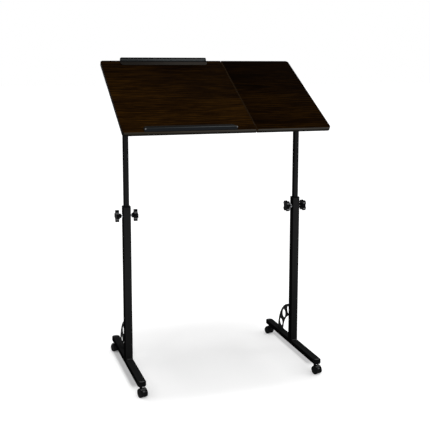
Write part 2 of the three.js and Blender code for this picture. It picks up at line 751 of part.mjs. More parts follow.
// A castor's hood, about the axle: a web between the wheels, a cover over them and a boss
// for the stem.
function castorHoodSolid() {
  const web = HOOD_WEB_WIDTH / 2;
  const cover = HOOD_COVER_WIDTH / 2;
  const innerRadius = wheelRadius + HOOD_WHEEL_CLEARANCE;
  const disc = prism(circle(HOOD_WEB_RADIUS), -web, web, ALONG_X, ROUND_FACETS);
  const span = ringPart(0, hoodOuterRadius, HOOD_COVER_START, HOOD_COVER_END);
  const bridge = prism(span, -web, web, ALONG_X, ARC_FACETS);
  const band = ringPart(innerRadius, hoodOuterRadius, HOOD_COVER_START, HOOD_COVER_END);
  const roof = prism(band, -cover, cover, ALONG_X, ARC_FACETS);
  const boss = prism(
    circle(HOOD_BOSS_DIAMETER / 2),
    HOOD_BOSS_BOTTOM - wheelRadius,
    hoodTop - wheelRadius + RUNNING_CLEARANCE,
    ALONG_Z,
    ROUND_FACETS,
  );
  const wheelRoom = prism(circle(innerRadius), -2 * cover, 2 * cover, ALONG_X, WHEEL_FACETS);
  const collar = moved(boss, 0, CASTOR_TRAIL, 0).subtract(wheelRoom);
  const pinBore = prism(
    circle(STEM_PIN_DIAMETER / 2 + RUNNING_CLEARANCE),
    STEM_PIN_BOTTOM - RUNNING_CLEARANCE - wheelRadius,
    hoodTop + CUT_OVERRUN,
    ALONG_Z,
    SMALL_ROUND_FACETS,
  );
  const axleBore = barAlongX(
    AXLE_DIAMETER + 2 * RUNNING_CLEARANCE,
    -web - CUT_OVERRUN,
    web + CUT_OVERRUN,
    SMALL_ROUND_FACETS,
  );
  const body = joined(disc, bridge, roof, collar);
  return body.subtract(moved(pinBore, 0, CASTOR_TRAIL, 0)).subtract(axleBore);
}

// A revolved solid about the axis that its profile's second number runs along.
function revolved(profile, facets) {
  const points = profile.map(([radius, place]) => new THREE.Vector2(radius, place));
  return new THREE.LatheGeometry(points, facets);
}

// The stem: a pin in the hood, a neck under the foot and a thread in the foot's nut.
function castorStemSolid() {
  const pin = STEM_PIN_DIAMETER / 2;
  const neck = STEM_NECK_DIAMETER / 2;
  const thread = STUD_DIAMETER / 2;
  const neckBottom = hoodTop + RUNNING_CLEARANCE + SEAT_GAP;
  const neckTop = FOOT_UNDERSIDE - SEAT_GAP;
  const geometry = revolved([
    [0, STEM_PIN_BOTTOM],
    [pin, STEM_PIN_BOTTOM],
    [pin, neckBottom],
    [neck, neckBottom],
    [neck, neckTop],
    [thread, neckTop],
    [thread, neckTop + STEM_THREAD_LENGTH],
    [0, neckTop + STEM_THREAD_LENGTH],
  ], SMALL_ROUND_FACETS);
  geometry.rotateX(QUARTER_TURN);
  return solidFrom(geometry);
}

// The axle pin that carries both wheels.
function castorAxleSolid() {
  const half = wheelInnerFace + WHEEL_BORE_DEPTH - SEAT_GAP;
  return barAlongX(AXLE_DIAMETER, -half, half, SMALL_ROUND_FACETS);
}

// A wheel on the right of the web, its bore blind from the inner face and its outer face dished.
function castorWheelSolid() {
  const bore = AXLE_DIAMETER / 2 + RUNNING_CLEARANCE;
  const round = WHEEL_EDGE_ROUND;
  const chamferShare = 0.3;
  const near = chamferShare * round;
  const geometry = revolved([
    [0, WHEEL_BORE_DEPTH],
    [bore, WHEEL_BORE_DEPTH],
    [bore, 0],
    [wheelRadius - round / 2, 0],
    [wheelRadius, round / 2],
    [wheelRadius, WHEEL_WIDTH - round],
    [wheelRadius - near, WHEEL_WIDTH - near],
    [wheelRadius - round, WHEEL_WIDTH],
    [WHEEL_DISH_RADIUS, WHEEL_WIDTH],
    [WHEEL_DISH_RADIUS - WHEEL_DISH_DEPTH, WHEEL_WIDTH - WHEEL_DISH_DEPTH],
    [0, WHEEL_WIDTH - WHEEL_DISH_DEPTH],
  ], WHEEL_FACETS);
  geometry.rotateZ(-QUARTER_TURN);
  return moved(solidFrom(geometry), wheelInnerFace, 0, 0);
}

// One castor under a foot: its group turns about the stem, and the wheels trail the stem.
function addCastor(leg, name, end, shapes) {
  const castor = new THREE.Group();
  castor.position.set(0, (end * stemSpread) / 2, 0);
  castor.rotation.z = CASTOR_REST_ANGLE + (end > 0 ? 2 * QUARTER_TURN : 0);
  leg.add(castor);
  addPiece(castor, `${name}_castor_stem`, shapes.stem, ZINC_STEEL);
  const rolling = new THREE.Group();
  rolling.position.set(0, -CASTOR_TRAIL, wheelRadius);
  castor.add(rolling);
  addPiece(rolling, `${name}_castor_hood`, shapes.hood, BLACK_PLASTIC);
  addPiece(rolling, `${name}_castor_axle`, shapes.axle, ZINC_STEEL);
  addPiece(rolling, `${name}_castor_wheel_a`, shapes.leftWheel, WHEEL_PLASTIC);
  addPiece(rolling, `${name}_castor_wheel_b`, shapes.rightWheel, WHEEL_PLASTIC);
}

// One leg: foot bar, caps, gusset, column, collar, clamp knobs and two castors.
function addLeg(desk, name, side, knobTurn, shapes) {
  const leg = new THREE.Group();
  leg.position.x = (side * columnSpacing) / 2;
  desk.add(leg);
  const post = new THREE.Group();
  post.position.y = COLUMN_PLACE;
  leg.add(post);
  addPiece(leg, `${name}_foot_bar`, shapes.footBar, BLACK_STEEL);
  addPiece(leg, `${name}_front_foot_cap`, shapes.frontCap, BLACK_PLASTIC);
  addPiece(leg, `${name}_rear_foot_cap`, shapes.rearCap, BLACK_PLASTIC);
  addPiece(post, `${name}_gusset`, shapes.gusset, BLACK_STEEL);
  addPiece(post, `${name}_column`, shapes.column, BLACK_STEEL);
  addPiece(post, `${name}_column_collar`, shapes.collar, BLACK_PLASTIC);
  addPiece(post, `${name}_inner_tube`, shapes.innerTube, BLACK_STEEL);
  addPiece(post, `${name}_guide_plug`, shapes.guidePlug, BLACK_PLASTIC);
  for (const knobSide of [-1, 1]) {
    const place = knobSide < 0 ? "left" : "right";
    const knob = addPiece(post, `${name}_clamp_knob_${place}`, shapes.clampKnob, BLACK_PLASTIC);
    knob.position.z = clampKnobHeight;
    knob.rotation.set(knobTurn, 0, knobSide < 0 ? 2 * QUARTER_TURN : 0);
  }
  addCastor(leg, `${name}_front`, -1, shapes.castor);
  addCastor(leg, `${name}_rear`, 1, shapes.castor);
}

// One panel's saddles, mount plates and pivots, the outer pivot with the knob.
function addBrackets(frame, tilt, name, centre, spread, shapes) {
  for (const side of [-1, 1]) {
    const place = side < 0 ? "left" : "right";
    const x = centre + (side * spread) / 2;
    const knobbed = side === Math.sign(centre);
    const saddle = addPiece(
      frame,
      `${name}_${place}_saddle`,
      knobbed ? shapes.knobbedSaddle : shapes.saddle,
      BLACK_STEEL,
    );
    saddle.position.set(x, 0, pivotHeight);
    const plate = addPiece(tilt, `${name}_${place}_mount_plate`, shapes.mountPlate, BLACK_STEEL);
    plate.position.x = x;
    const pivot = knobbed
      ? addPiece(frame, `${name}_tilt_knob`, shapes.tiltKnob, BLACK_PLASTIC)
      : addPiece(frame, `${name}_pivot_bolt`, shapes.pivotBolt, ZINC_STEEL);
    pivot.position.set(x, 0, pivotHeight);
  }
}

// The whole desk.
function buildDesk() {
  const desk = new THREE.Group();
  const footCap = footCapSolid();
  const wheel = castorWheelSolid();
  const legShapes = {
    footBar: footBarSolid(),
    frontCap: footCap,
    rearCap: footCap.mirror([0, 1, 0]),
    gusset: gussetSolid(),
    column: columnSolid(),
    collar: collarSolid(),
    innerTube: innerTubeSolid(),
    guidePlug: guidePlugSolid(),
    clampKnob: clampKnobSolid(),
    castor: {
      stem: castorStemSolid(),
      hood: castorHoodSolid(),
      axle: castorAxleSolid(),
      leftWheel: wheel.mirror([1, 0, 0]),
      rightWheel: wheel,
    },
  };
  addLeg(desk, "left", -1, 0, legShapes);
  addLeg(desk, "right", 1, QUARTER_TURN / 2, legShapes);

  const frame = new THREE.Group();
  frame.position.y = COLUMN_PLACE;
  desk.add(frame);
  addPiece(frame, "crossbar", crossbarSolid(), BLACK_STEEL);
  const cap = crossbarCapSolid();
  const capPlace = columnSpacing / 2 + CROSSBAR_OVERHANG;
  const capLevel = crossbarBottom + CROSSBAR_SIZE / 2;
  const rightCap = addPiece(frame, "crossbar_right_end_cap", cap, BLACK_PLASTIC);
  rightCap.position.set(capPlace, 0, capLevel);
  const leftCap = addPiece(frame, "crossbar_left_end_cap", cap.mirror([1, 0, 0]), BLACK_PLASTIC);
  leftCap.position.set(-capPlace, 0, capLevel);

  // Both panels tilt about the pivots' common line.
  const tilt = new THREE.Group();
  tilt.position.z = pivotHeight;
  tilt.rotation.x = TILT_ANGLE;
  frame.add(tilt);
  addPiece(tilt, "large_panel", panelSolid(largePanelWidth, true), WOOD);
  addPiece(tilt, "small_panel", panelSolid(SMALL_PANEL_WIDTH, false), WOOD);
  const frontLedge = ledgeSolid(FRONT_LEDGE_LENGTH, FRONT_LEDGE_CENTRE, 1);
  addPiece(tilt, "front_ledge", frontLedge, LEDGE_PLASTIC);
  const rearLedge = ledgeSolid(REAR_LEDGE_LENGTH, REAR_LEDGE_CENTRE, -1);
  addPiece(tilt, "rear_ledge", rearLedge, LEDGE_PLASTIC);

  const bracketShapes = {
    saddle: saddleSolid(false),
    knobbedSaddle: saddleSolid(true),
    mountPlate: mountPlateSolid(),
    pivotBolt: pivotBoltSolid(),
    tiltKnob: tiltKnobSolid(),
  };
  addBrackets(frame, tilt, "large_panel", largePanelCentre, LARGE_BRACKET_SPREAD, bracketShapes);
  addBrackets(frame, tilt, "small_panel", smallPanelCentre, SMALL_BRACKET_SPREAD, bracketShapes);
  return desk;
}

export default buildDesk();
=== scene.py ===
import logging
import math
from collections.abc import Callable
from dataclasses import dataclass
from enum import Enum
from functools import cache

import bmesh
import bpy
from mathutils import Matrix, Vector


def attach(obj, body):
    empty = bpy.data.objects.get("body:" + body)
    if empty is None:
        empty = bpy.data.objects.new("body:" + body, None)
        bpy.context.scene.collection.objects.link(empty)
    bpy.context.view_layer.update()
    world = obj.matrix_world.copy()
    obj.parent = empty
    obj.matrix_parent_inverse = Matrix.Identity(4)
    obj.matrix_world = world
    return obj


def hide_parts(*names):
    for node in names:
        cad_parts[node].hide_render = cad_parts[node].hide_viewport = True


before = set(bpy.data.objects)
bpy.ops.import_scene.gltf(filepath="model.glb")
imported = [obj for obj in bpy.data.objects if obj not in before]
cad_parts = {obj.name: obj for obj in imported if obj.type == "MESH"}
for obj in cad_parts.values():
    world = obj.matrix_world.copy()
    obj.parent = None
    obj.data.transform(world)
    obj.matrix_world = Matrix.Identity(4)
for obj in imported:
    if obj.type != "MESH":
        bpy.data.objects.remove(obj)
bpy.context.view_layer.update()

# The looks of a laptop desk: two tilting boards on a crossbar and two telescopic legs on
# castors. Metres, +X to the right, +Y to the back, +Z up, the floor at zero. Columns, pivots
# and knobs stand on one line across the desk, at LINE along Y.

log = logging.getLogger("laptop_desk")

Test = Callable[[Vector, Vector], bool]
Pair = tuple[float, float]
Triple = tuple[float, float, float]
Ramp = tuple[float, float, float, float]

HAIR = 1e-5
STRAIGHT = 0.99
LINE = -0.012
COLUMN_SPACING = 0.696
SEAT_GAP = 0.0003
CUT_OVERRUN = 0.01
TUBE_CORNER = 0.003
TUBE_WALL = 0.0015
TO_LINE = Matrix.Translation((0, LINE, 0))
BLACK = (0.0, 0.0, 0.0)


class Axis(Enum):
    """A direction that a bar runs in or a face looks in."""

    X = 0
    Y = 1
    Z = 2

    @property
    def turn(self) -> Triple:
        """The turn that lays an upright primitive along the axis."""
        quarter = math.pi / 2
        return {Axis.X: (0, quarter, 0), Axis.Y: (quarter, 0, 0), Axis.Z: (0, 0, 0)}[self]

    @property
    def mirror(self) -> Matrix:
        """The matrix that mirrors along the axis."""
        return Matrix.Scale(-1, 4, self.point(1))

    def along(self, direction: Vector) -> bool:
        """True where a direction runs along the axis, either way."""
        return abs(direction[self.value]) > STRAIGHT

    def point(self, place: float, across: float = 0, up: float = 0) -> Vector:
        """A point at a place along the axis and two more along the other axes in order."""
        rest = [across, up]
        return Vector(rest[: self.value] + [place] + rest[self.value :])


class Side(Enum):
    """The left or the right half of the desk, seen from the front."""

    LEFT = -1
    RIGHT = 1

    @property
    def word(self) -> str:
        """The side's word in the names of pieces."""
        return self.name.lower()

    @property
    def x(self) -> float:
        """Where the side's column stands along the desk."""
        return self.value * COLUMN_SPACING / 2


class End(Enum):
    """The front or the rear end of a foot or a board."""

    FRONT = -1
    REAR = 1

    @property
    def word(self) -> str:
        """The end's word in the names of pieces."""
        return self.name.lower()


# Tests for the edges or faces that a tool works on


def anywhere(place: Vector, direction: Vector) -> bool:
    """A test that every edge or face passes."""
    return True


def along(axis: Axis) -> Test:
    """A test for the edges that run along an axis and the faces that look along it."""
    return lambda place, direction: axis.along(direction)


def square_to(axis: Axis) -> Test:
    """A test for the edges that run square to an axis."""
    return lambda place, direction: abs(direction[axis.value]) < HAIR


def past(axis: Axis, level: float, way: int = 1) -> Test:
    """A test for what lies at a level along an axis or past it, upward or with -1 downward."""
    return lambda place, direction: way * (place[axis.value] - level) > -HAIR


def facing(axis: Axis, way: int = 1, least: float = STRAIGHT) -> Test:
    """A test for the faces that look along an axis, one way, with a least cosine."""
    return lambda place, normal: way * normal[axis.value] > least


def both(first: Test, second: Test) -> Test:
    """A test that takes two others to pass."""
    return lambda place, direction: first(place, direction) and second(place, direction)


# Workbench: meshes shaped by the tools of edit mode


class Workpiece:
    """One mesh on the bench, from its first primitive to its place on the desk."""

    def __init__(self, name: str) -> None:
        """Takes the object that an operator has just made.

        Args:
            name: The piece's name.
        """
        self.obj = bpy.context.object
        self.obj.name = self.obj.data.name = name
        self.settle()

    @classmethod
    def block(cls, name: str, low: Vector | Triple, high: Vector | Triple) -> "Workpiece":
        """A rectangular blank.

        Args:
            name: The piece's name.
            low: Its lowest corner.
            high: Its highest corner.

        Returns:
            The blank.
        """
        low, high = Vector(low), Vector(high)
        bpy.ops.mesh.primitive_cube_add(size=1, location=(low + high) / 2, scale=high - low)
        return cls(name)

    @classmethod
    def post(
        cls, name: str, axis: Axis, start: float, end: float, half: Pair, centre: Pair = (0, 0)
    ) -> "Workpiece":
        """A rectangular blank along an axis.

        Args:
            name: The piece's name.
            axis: The direction that it runs in.
            start: Where it starts along the axis.
            end: Where it ends.
            half: Half its size along the other two axes.
            centre: Its middle along them.

        Returns:
            The blank.
        """
        low = axis.point(start, centre[0] - half[0], centre[1] - half[1])
        return cls.block(name, low, axis.point(end, centre[0] + half[0], centre[1] + half[1]))

    @classmethod
    def bar(
        cls, name: str, axis: Axis, start: float, end: float, radius: float,
        centre: Pair = (0, 0), sides: int = 48,
    ) -> "Workpiece":
        """A round blank along an axis.

        Args:
            name: The piece's name.
            axis: The direction that it runs in.
            start: Where it starts along the axis.
            end: Where it ends.
            radius: Its radius.
            centre: Its place along the other two axes.
            sides: How many flats its round has.

        Returns:
            The blank.
        """
        bpy.ops.mesh.primitive_cylinder_add(
            vertices=sides,
            radius=radius,
            depth=end - start,
            location=axis.point((start + end) / 2, *centre),
            rotation=axis.turn,
        )
        return cls(name)

    def select(self) -> None:
        """Selects this piece alone."""
        bpy.ops.object.select_all(action="DESELECT")
        self.obj.select_set(True)
        bpy.context.view_layer.objects.active = self.obj

    def settle(self) -> None:
        """Moves the object's place, turn and scale into its mesh."""
        self.select()
        bpy.ops.object.transform_apply(location=True, rotation=True, scale=True)

    def edit(self, kind: str, test: Test, tool: Callable, **settings: object) -> "Workpiece":
        """Uses a tool of edit mode on the edges or faces that pass a test.

        Args:
            kind: EDGE or FACE.
            test: Takes an edge's middle and direction, or a face's centre and normal.
            tool: The operator.
            settings: Its settings.

        Returns:
            The piece.
        """
        self.select()
        bpy.ops.object.mode_set(mode="EDIT")
        bpy.ops.mesh.select_mode(type=kind)
        bpy.ops.mesh.select_all(action="DESELECT")
        mesh = bmesh.from_edit_mesh(self.obj.data)
        if kind == "EDGE":
            for edge in mesh.edges:
                first, last = (corner.co for corner in edge.verts)
                if test((first + last) / 2, (last - first).normalized()):
                    edge.select_set(True)
        else:
            for face in mesh.faces:
                if test(face.calc_center_median(), face.normal):
                    face.select_set(True)
        bmesh.update_edit_mesh(self.obj.data)
        tool(**settings)
        bpy.ops.object.mode_set(mode="OBJECT")
        return self

    def bevel(self, test: Test, width: float, segments: int = 3) -> "Workpiece":
        """Rounds the edges that pass a test to a radius, with so many flats."""
        settings = {"offset": width, "segments": segments, "affect": "EDGES"}
        return self.edit("EDGE", test, bpy.ops.mesh.bevel, **settings)

    def inset(self, test: Test, thickness: float, depth: float = 0) -> "Workpiece":
        """Insets the faces that pass a test by a border, and raises them by a depth."""
        return self.edit("FACE", test, bpy.ops.mesh.inset, thickness=thickness, depth=depth)

    def halve(self, point: Vector, normal: Vector) -> "Workpiece":
        """Cuts the piece along a plane and closes the part that the normal points away from."""
        settings = {"plane_co": point, "plane_no": normal, "use_fill": True, "clear_outer": True}
        return self.edit("FACE", anywhere, bpy.ops.mesh.bisect, **settings)

    def score(self, axis: Axis, place: float) -> "Workpiece":
        """Cuts a line round the piece at a place along an axis and keeps both parts."""
        settings = {"plane_co": axis.point(place), "plane_no": axis.point(1)}
        return self.edit("FACE", anywhere, bpy.ops.mesh.bisect, **settings)

    def modify(self, kind: str, **settings: object) -> "Workpiece":
        """Adds a modifier and applies it.

        Args:
            kind: The modifier's type.
            settings: Its settings.

        Returns:
            The piece.
        """
        self.select()
        modifier = self.obj.modifiers.new(kind.title(), kind)
        for key, value in settings.items():
            setattr(modifier, key, value)
        bpy.ops.object.modifier_apply(modifier=modifier.name)
        return self

    def round_edges(self, width: float, segments: int = 2, angle: float = 30) -> "Workpiece":
        """Rounds every edge that is sharper than an angle in degrees."""
        settings = {"limit_method": "ANGLE", "angle_limit": math.radians(angle)}
        return self.modify("BEVEL", width=width, segments=segments, **settings)

    def cut(self, *tools: "Workpiece") -> "Workpiece":
        """Cuts other pieces out of this one and discards them."""
        return self._combine("DIFFERENCE", tools)

    def fuse(self, *parts: "Workpiece") -> "Workpiece":
        """Makes one solid of this piece and others."""
        return self._combine("UNION", parts)

    def _combine(self, operation: str, others: tuple["Workpiece", ...]) -> "Workpiece":
        """Runs one solid operation with each of the others, which are used up.

        Args:
            operation: UNION or DIFFERENCE.
            others: The other pieces.

        Returns:
            The piece.
        """
        for other in others:
            self.modify("BOOLEAN", operation=operation, object=other.obj, solver="EXACT")
            discard(other)
        return self

    def copy(self, name: str, move: Matrix) -> "Workpiece":
        """A copy with its own mesh.

        Args:
            name: The copy's name.
            move: The matrix that moves it, which may mirror.

        Returns:
            The copy.
        """
        self.select()
        bpy.ops.object.duplicate(linked=False)
        return Workpiece(name).place(move)

    def place(self, move: Matrix) -> "Workpiece":
        """Moves the mesh and turns a mirrored one right side out.

        Args:
            move: The matrix that moves it, which may mirror.

        Returns:
            The piece.
        """
        self.obj.matrix_world = move
        self.settle()
        if move.determinant() < 0:
            self.edit("FACE", anywhere, bpy.ops.mesh.normals_make_consistent, inside=False)
        return self

    def join(self, *others: "Workpiece") -> "Workpiece":
        """Puts other pieces into this one as they are.

        Args:
            others: The other pieces, which are used up.

        Returns:
            The piece.
        """
        self.select()
        for other in others:
            other.obj.select_set(True)
        bpy.ops.object.join()
        return self

    def dress(self, finish: "Finish", test: Test | None = None) -> "Workpiece":
        """Gives the piece, or its faces that pass a test, a finish.

        Args:
            finish: The finish.
            test: Takes a face's centre and normal.

        Returns:
            The piece.
        """
        slots = self.obj.data.materials
        if test is None:
            slots.clear()
        slots.append(material_of(finish))
        for face in self.obj.data.polygons:
            if test is None or test(face.center, face.normal):
                face.material_index = len(slots) - 1
        return self

    def fit(self, body: str, slot: str, *nodes: str, angle: float = 35) -> None:
        """Smooths the piece and hangs it on its body.

        Args:
            body: The body that it moves with.
            slot: The record's slot that its finish comes from; not used.
            nodes: The solids that it stands for.
            angle: Edges sharper than this many degrees stay sharp.
        """
        self.select()
        bpy.ops.object.shade_smooth_by_angle(angle=math.radians(angle))
        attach(self.obj, body)
        if nodes:
            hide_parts(*nodes)
        log.info("%s on %s, %d faces", self.obj.name, body, len(self.obj.data.polygons))


def discard(*pieces: Workpiece) -> None:
    """Removes pieces that have served."""
    for piece in pieces:
        bpy.data.objects.remove(piece.obj)


def dress_solid(node: str, finish: "Finish", edge: float = 0, angle: float = 35) -> None:
    """Gives one of the frame's own solids a finish and fine rounded edges.

    Args:
        node: The solid.
        finish: Its finish.
        edge: The rounding's radius, or 0 for none.
        angle: Edges sharper than this many degrees are rounded.
    """
    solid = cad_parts[node]
    solid.data.materials.clear()
    solid.data.materials.append(material_of(finish))
    if edge:
        solid.modifiers.new("Weld", "WELD").merge_threshold = HAIR
        bevel = solid.modifiers.new("Bevel", "BEVEL")
        bevel.width, bevel.segments = edge, 2
        bevel.limit_method, bevel.angle_limit = "ANGLE", math.radians(angle)
    log.info("%s keeps its solid", node)


def square_tube(
    name: str, axis: Axis, span: Pair, centre: Pair, size: Pair, coat: "Finish", lit: Axis = Axis.Y
) -> Workpiece:
    """A drawn rectangular tube, open at both ends.

    Args:
        name: The piece's name.
        axis: The direction that it runs in.
        span: Where it starts and ends.
        centre: Its middle along the other two axes.
        size: Its outer size along those axes.
        coat: Its finish.
        lit: Where the faces look that keep this finish, while the others get a painted shade.

    Returns:
        The tube.
    """
    tube = Workpiece.post(name, axis, *span, (size[0] / 2, size[1] / 2), centre)
    tube.bevel(along(axis), TUBE_CORNER, segments=6)
    tube.edit("FACE", along(axis), bpy.ops.mesh.delete, type="FACE")
    tube.modify("SOLIDIFY", thickness=TUBE_WALL, offset=-1)
    # The faces that don't look along lit, sides and rounded corners, get a painted shade.
    return tube.dress(coat).dress(SHADED_SIDE_POWDER, lambda place, normal: not lit.along(normal))


@dataclass
class WeldBead:
    """A weld's row of overlapping ripples between two points."""

    start: Vector
    end: Vector
    radius: float
    step_share: float = 0.75
    swell: float = 0.12
    beat: float = 2.4

    def build(self, name: str) -> Workpiece:
        """Makes the bead.

        Args:
            name: The piece's name.

        Returns:
            The bead.
        """
        way = self.end - self.start
        count = max(2, round(way.length / (self.step_share * self.radius)))
        bpy.ops.mesh.primitive_uv_sphere_add(
            segments=12, ring_count=8, radius=self.radius, location=self.start
        )
        first = Workpiece(name)
        ripples = []
        for number in range(1, count + 1):
            growth = 1 + self.swell * math.sin(self.beat * number)
            move = Matrix.Translation(self.start + way / count * number) @ Matrix.Scale(growth, 4)
            ripples.append(first.copy(name, move @ Matrix.Translation(-self.start)))
        return first.join(*ripples)


# Shaders: sockets with arithmetic, and the desk's finishes


@dataclass(frozen=True)
class Grain:
    """A cloudy noise: cells to a metre along each axis, finer layers, their strength, a warp."""

    scale: Triple
    layers: float = 3
    strength: float = 0.55
    warp: float = 0


class Wire:
    """A node's output on its way through a material, with arithmetic."""

    def __init__(self, bench: "NodeBench", socket: bpy.types.NodeSocket) -> None:
        """Keeps the bench that the node is on and its output."""
        self.bench = bench
        self.socket = socket

    def _math(self, operation: str, first: object, second: object) -> "Wire":
        """A math node of two values."""
        return self.bench.add("ShaderNodeMath", {"operation": operation}, {0: first, 1: second})

    def __add__(self, other: object) -> "Wire":
        """The sum."""
        return self._math("ADD", self, other)

    __radd__ = __add__

    def __sub__(self, other: object) -> "Wire":
        """The difference."""
        return self._math("SUBTRACT", self, other)

    def __rsub__(self, other: object) -> "Wire":
        """The difference from a plain number."""
        return self._math("SUBTRACT", other, self)

    def __mul__(self, other: object) -> "Wire":
        """The product."""
        return self._math("MULTIPLY", self, other)

    __rmul__ = __mul__

    def __abs__(self) -> "Wire":
        """The value without its sign."""
        return self._math("ABSOLUTE", self, 0)

    def part(self, axis: Axis) -> "Wire":
        """One coordinate of a point."""
        return self.bench.add("ShaderNodeSeparateXYZ", {}, {"Vector": self}, axis.name)

    def ramp(self, low: float, high: float, start: float = 0, end: float = 1) -> "Wire":
        """The value brought smoothly from one range to another, and held there.

        Args:
            low: Where the input starts.
            high: Where it ends.
            start: The output at the low end.
            end: The output at the high end.

        Returns:
            The new value.
        """
        settings = {"interpolation_type": "SMOOTHSTEP"}
        inputs = {"Value": self, "From Min": low, "From Max": high}
        inputs.update({"To Min": start, "To Max": end})
        return self.bench.add("ShaderNodeMapRange", settings, inputs)


class NodeBench:
    """The nodes of one material, round its Principled shader."""

    def __init__(self, name: str) -> None:
        """Makes the material.

        Args:
            name: The material's name.
        """
        self.material = bpy.data.materials.new(name)
        self.material.use_nodes = True
        self.tree = self.material.node_tree
        self.shader = self.tree.nodes["Principled BSDF"]

    def add(self, kind: str, settings: dict, inputs: dict, output: int | str = 0) -> Wire:
        """Adds a node.

        Args:
            kind: The node's type.
            settings: Its properties.
            inputs: Its values and links, by socket name or number.
            output: Which output is wanted.

        Returns:
            That output.
        """
        node = self.tree.nodes.new(kind)
        for key, value in settings.items():
            setattr(node, key, value)
        for key, value in inputs.items():
            self._feed(node.inputs[key], value)
        return Wire(self, node.outputs[output])

    def _feed(self, socket: bpy.types.NodeSocket, value: object) -> None:
        """Links a wire to a socket, or sets a plain value.

        Args:
            socket: The socket.
            value: A wire or a plain value.
        """
        if isinstance(value, Wire):
            self.tree.links.new(value.socket, socket)
        else:
            socket.default_value = value

    def place(self, location: Triple = (0, 0, 0), turn: float = 0) -> Wire:
        """The point in metres, seen from a place and turned about the X axis.

        Args:
            location: The new zero.
            turn: The turn about the X axis.

        Returns:
            The point.
        """
        point = self.add("ShaderNodeTexCoord", {}, {}, "Object")
        inputs = {"Vector": point, "Location": location, "Rotation": (turn, 0, 0)}
        return self.add("ShaderNodeMapping", {"vector_type": "TEXTURE"}, inputs)

    def stretched(self, point: Wire, scale: Triple, shift: Triple = (0, 0, 0)) -> Wire:
        """A point with its own scale along each axis and a shift after that."""
        inputs = {"Vector": point, "Scale": scale, "Location": shift}
        return self.add("ShaderNodeMapping", {"vector_type": "POINT"}, inputs)

    def noise(self, point: Wire, grain: Grain, shift: Triple = (0, 0, 0)) -> Wire:
        """Cloudy noise between 0 and 1.

        Args:
            point: Where it is read.
            grain: Its pattern.
            shift: What moves the pattern, in cells.

        Returns:
            The value.
        """
        inputs = {"Vector": self.stretched(point, grain.scale, shift), "Scale": 1}
        inputs.update({"Detail": grain.layers, "Roughness": grain.strength})
        return self.add("ShaderNodeTexNoise", {}, {**inputs, "Distortion": grain.warp}, "Fac")

    def graded(self, share: Wire, stops: dict[float, Triple]) -> Wire:
        """A colour from a row of colours.

        Args:
            share: Where it is read.
            stops: The colours, each at its place.

        Returns:
            The colour.
        """
        colour = self.add("ShaderNodeValToRGB", {}, {0: share}, "Color")
        elements = colour.socket.node.color_ramp.elements
        while len(elements) < len(stops):
            elements.new(1)
        for element, (place, tone) in zip(elements, stops.items()):
            element.position = place
            element.color = (*tone, 1)
        return colour

    def mixed(self, share: object, first: object, second: object) -> Wire:
        """A colour between two.

        Args:
            share: 0 for the first, 1 for the second.
            first: A colour or a wire.
            second: A colour or a wire.

        Returns:
            The colour.
        """
        full = [(*c, 1) if isinstance(c, tuple) else c for c in (first, second)]
        settings = {"data_type": "RGBA"}
        return self.add("ShaderNodeMix", settings, {0: share, 6: full[0], 7: full[1]}, 2)

    def bumped(self, height: Wire, strength: float, distance: float) -> Wire:
        """The normal over a height between 0 and 1, which is a distance."""
        inputs = {"Height": height, "Strength": strength, "Distance": distance}
        return self.add("ShaderNodeBump", {}, inputs)

    def done(self, **inputs: object) -> bpy.types.Material:
        """Feeds the shader's sockets.

        Args:
            inputs: Values and wires, by socket name with underscores.

        Returns:
            The material.
        """
        for key, value in inputs.items():
            self._feed(self.shader.inputs[key.replace("_", " ")], value)
        return self.material


def dimmed(colour: Triple, share: float) -> Triple:
    """A share of a colour's light."""
    return tuple(share * channel for channel in colour)


class Finish:
    """A surface that a piece can be given."""

    def make(self) -> bpy.types.Material:
        """Builds the material."""
        raise NotImplementedError


@cache
def material_of(finish: Finish) -> bpy.types.Material:
    """The material of a finish, made once."""
    return finish.make()


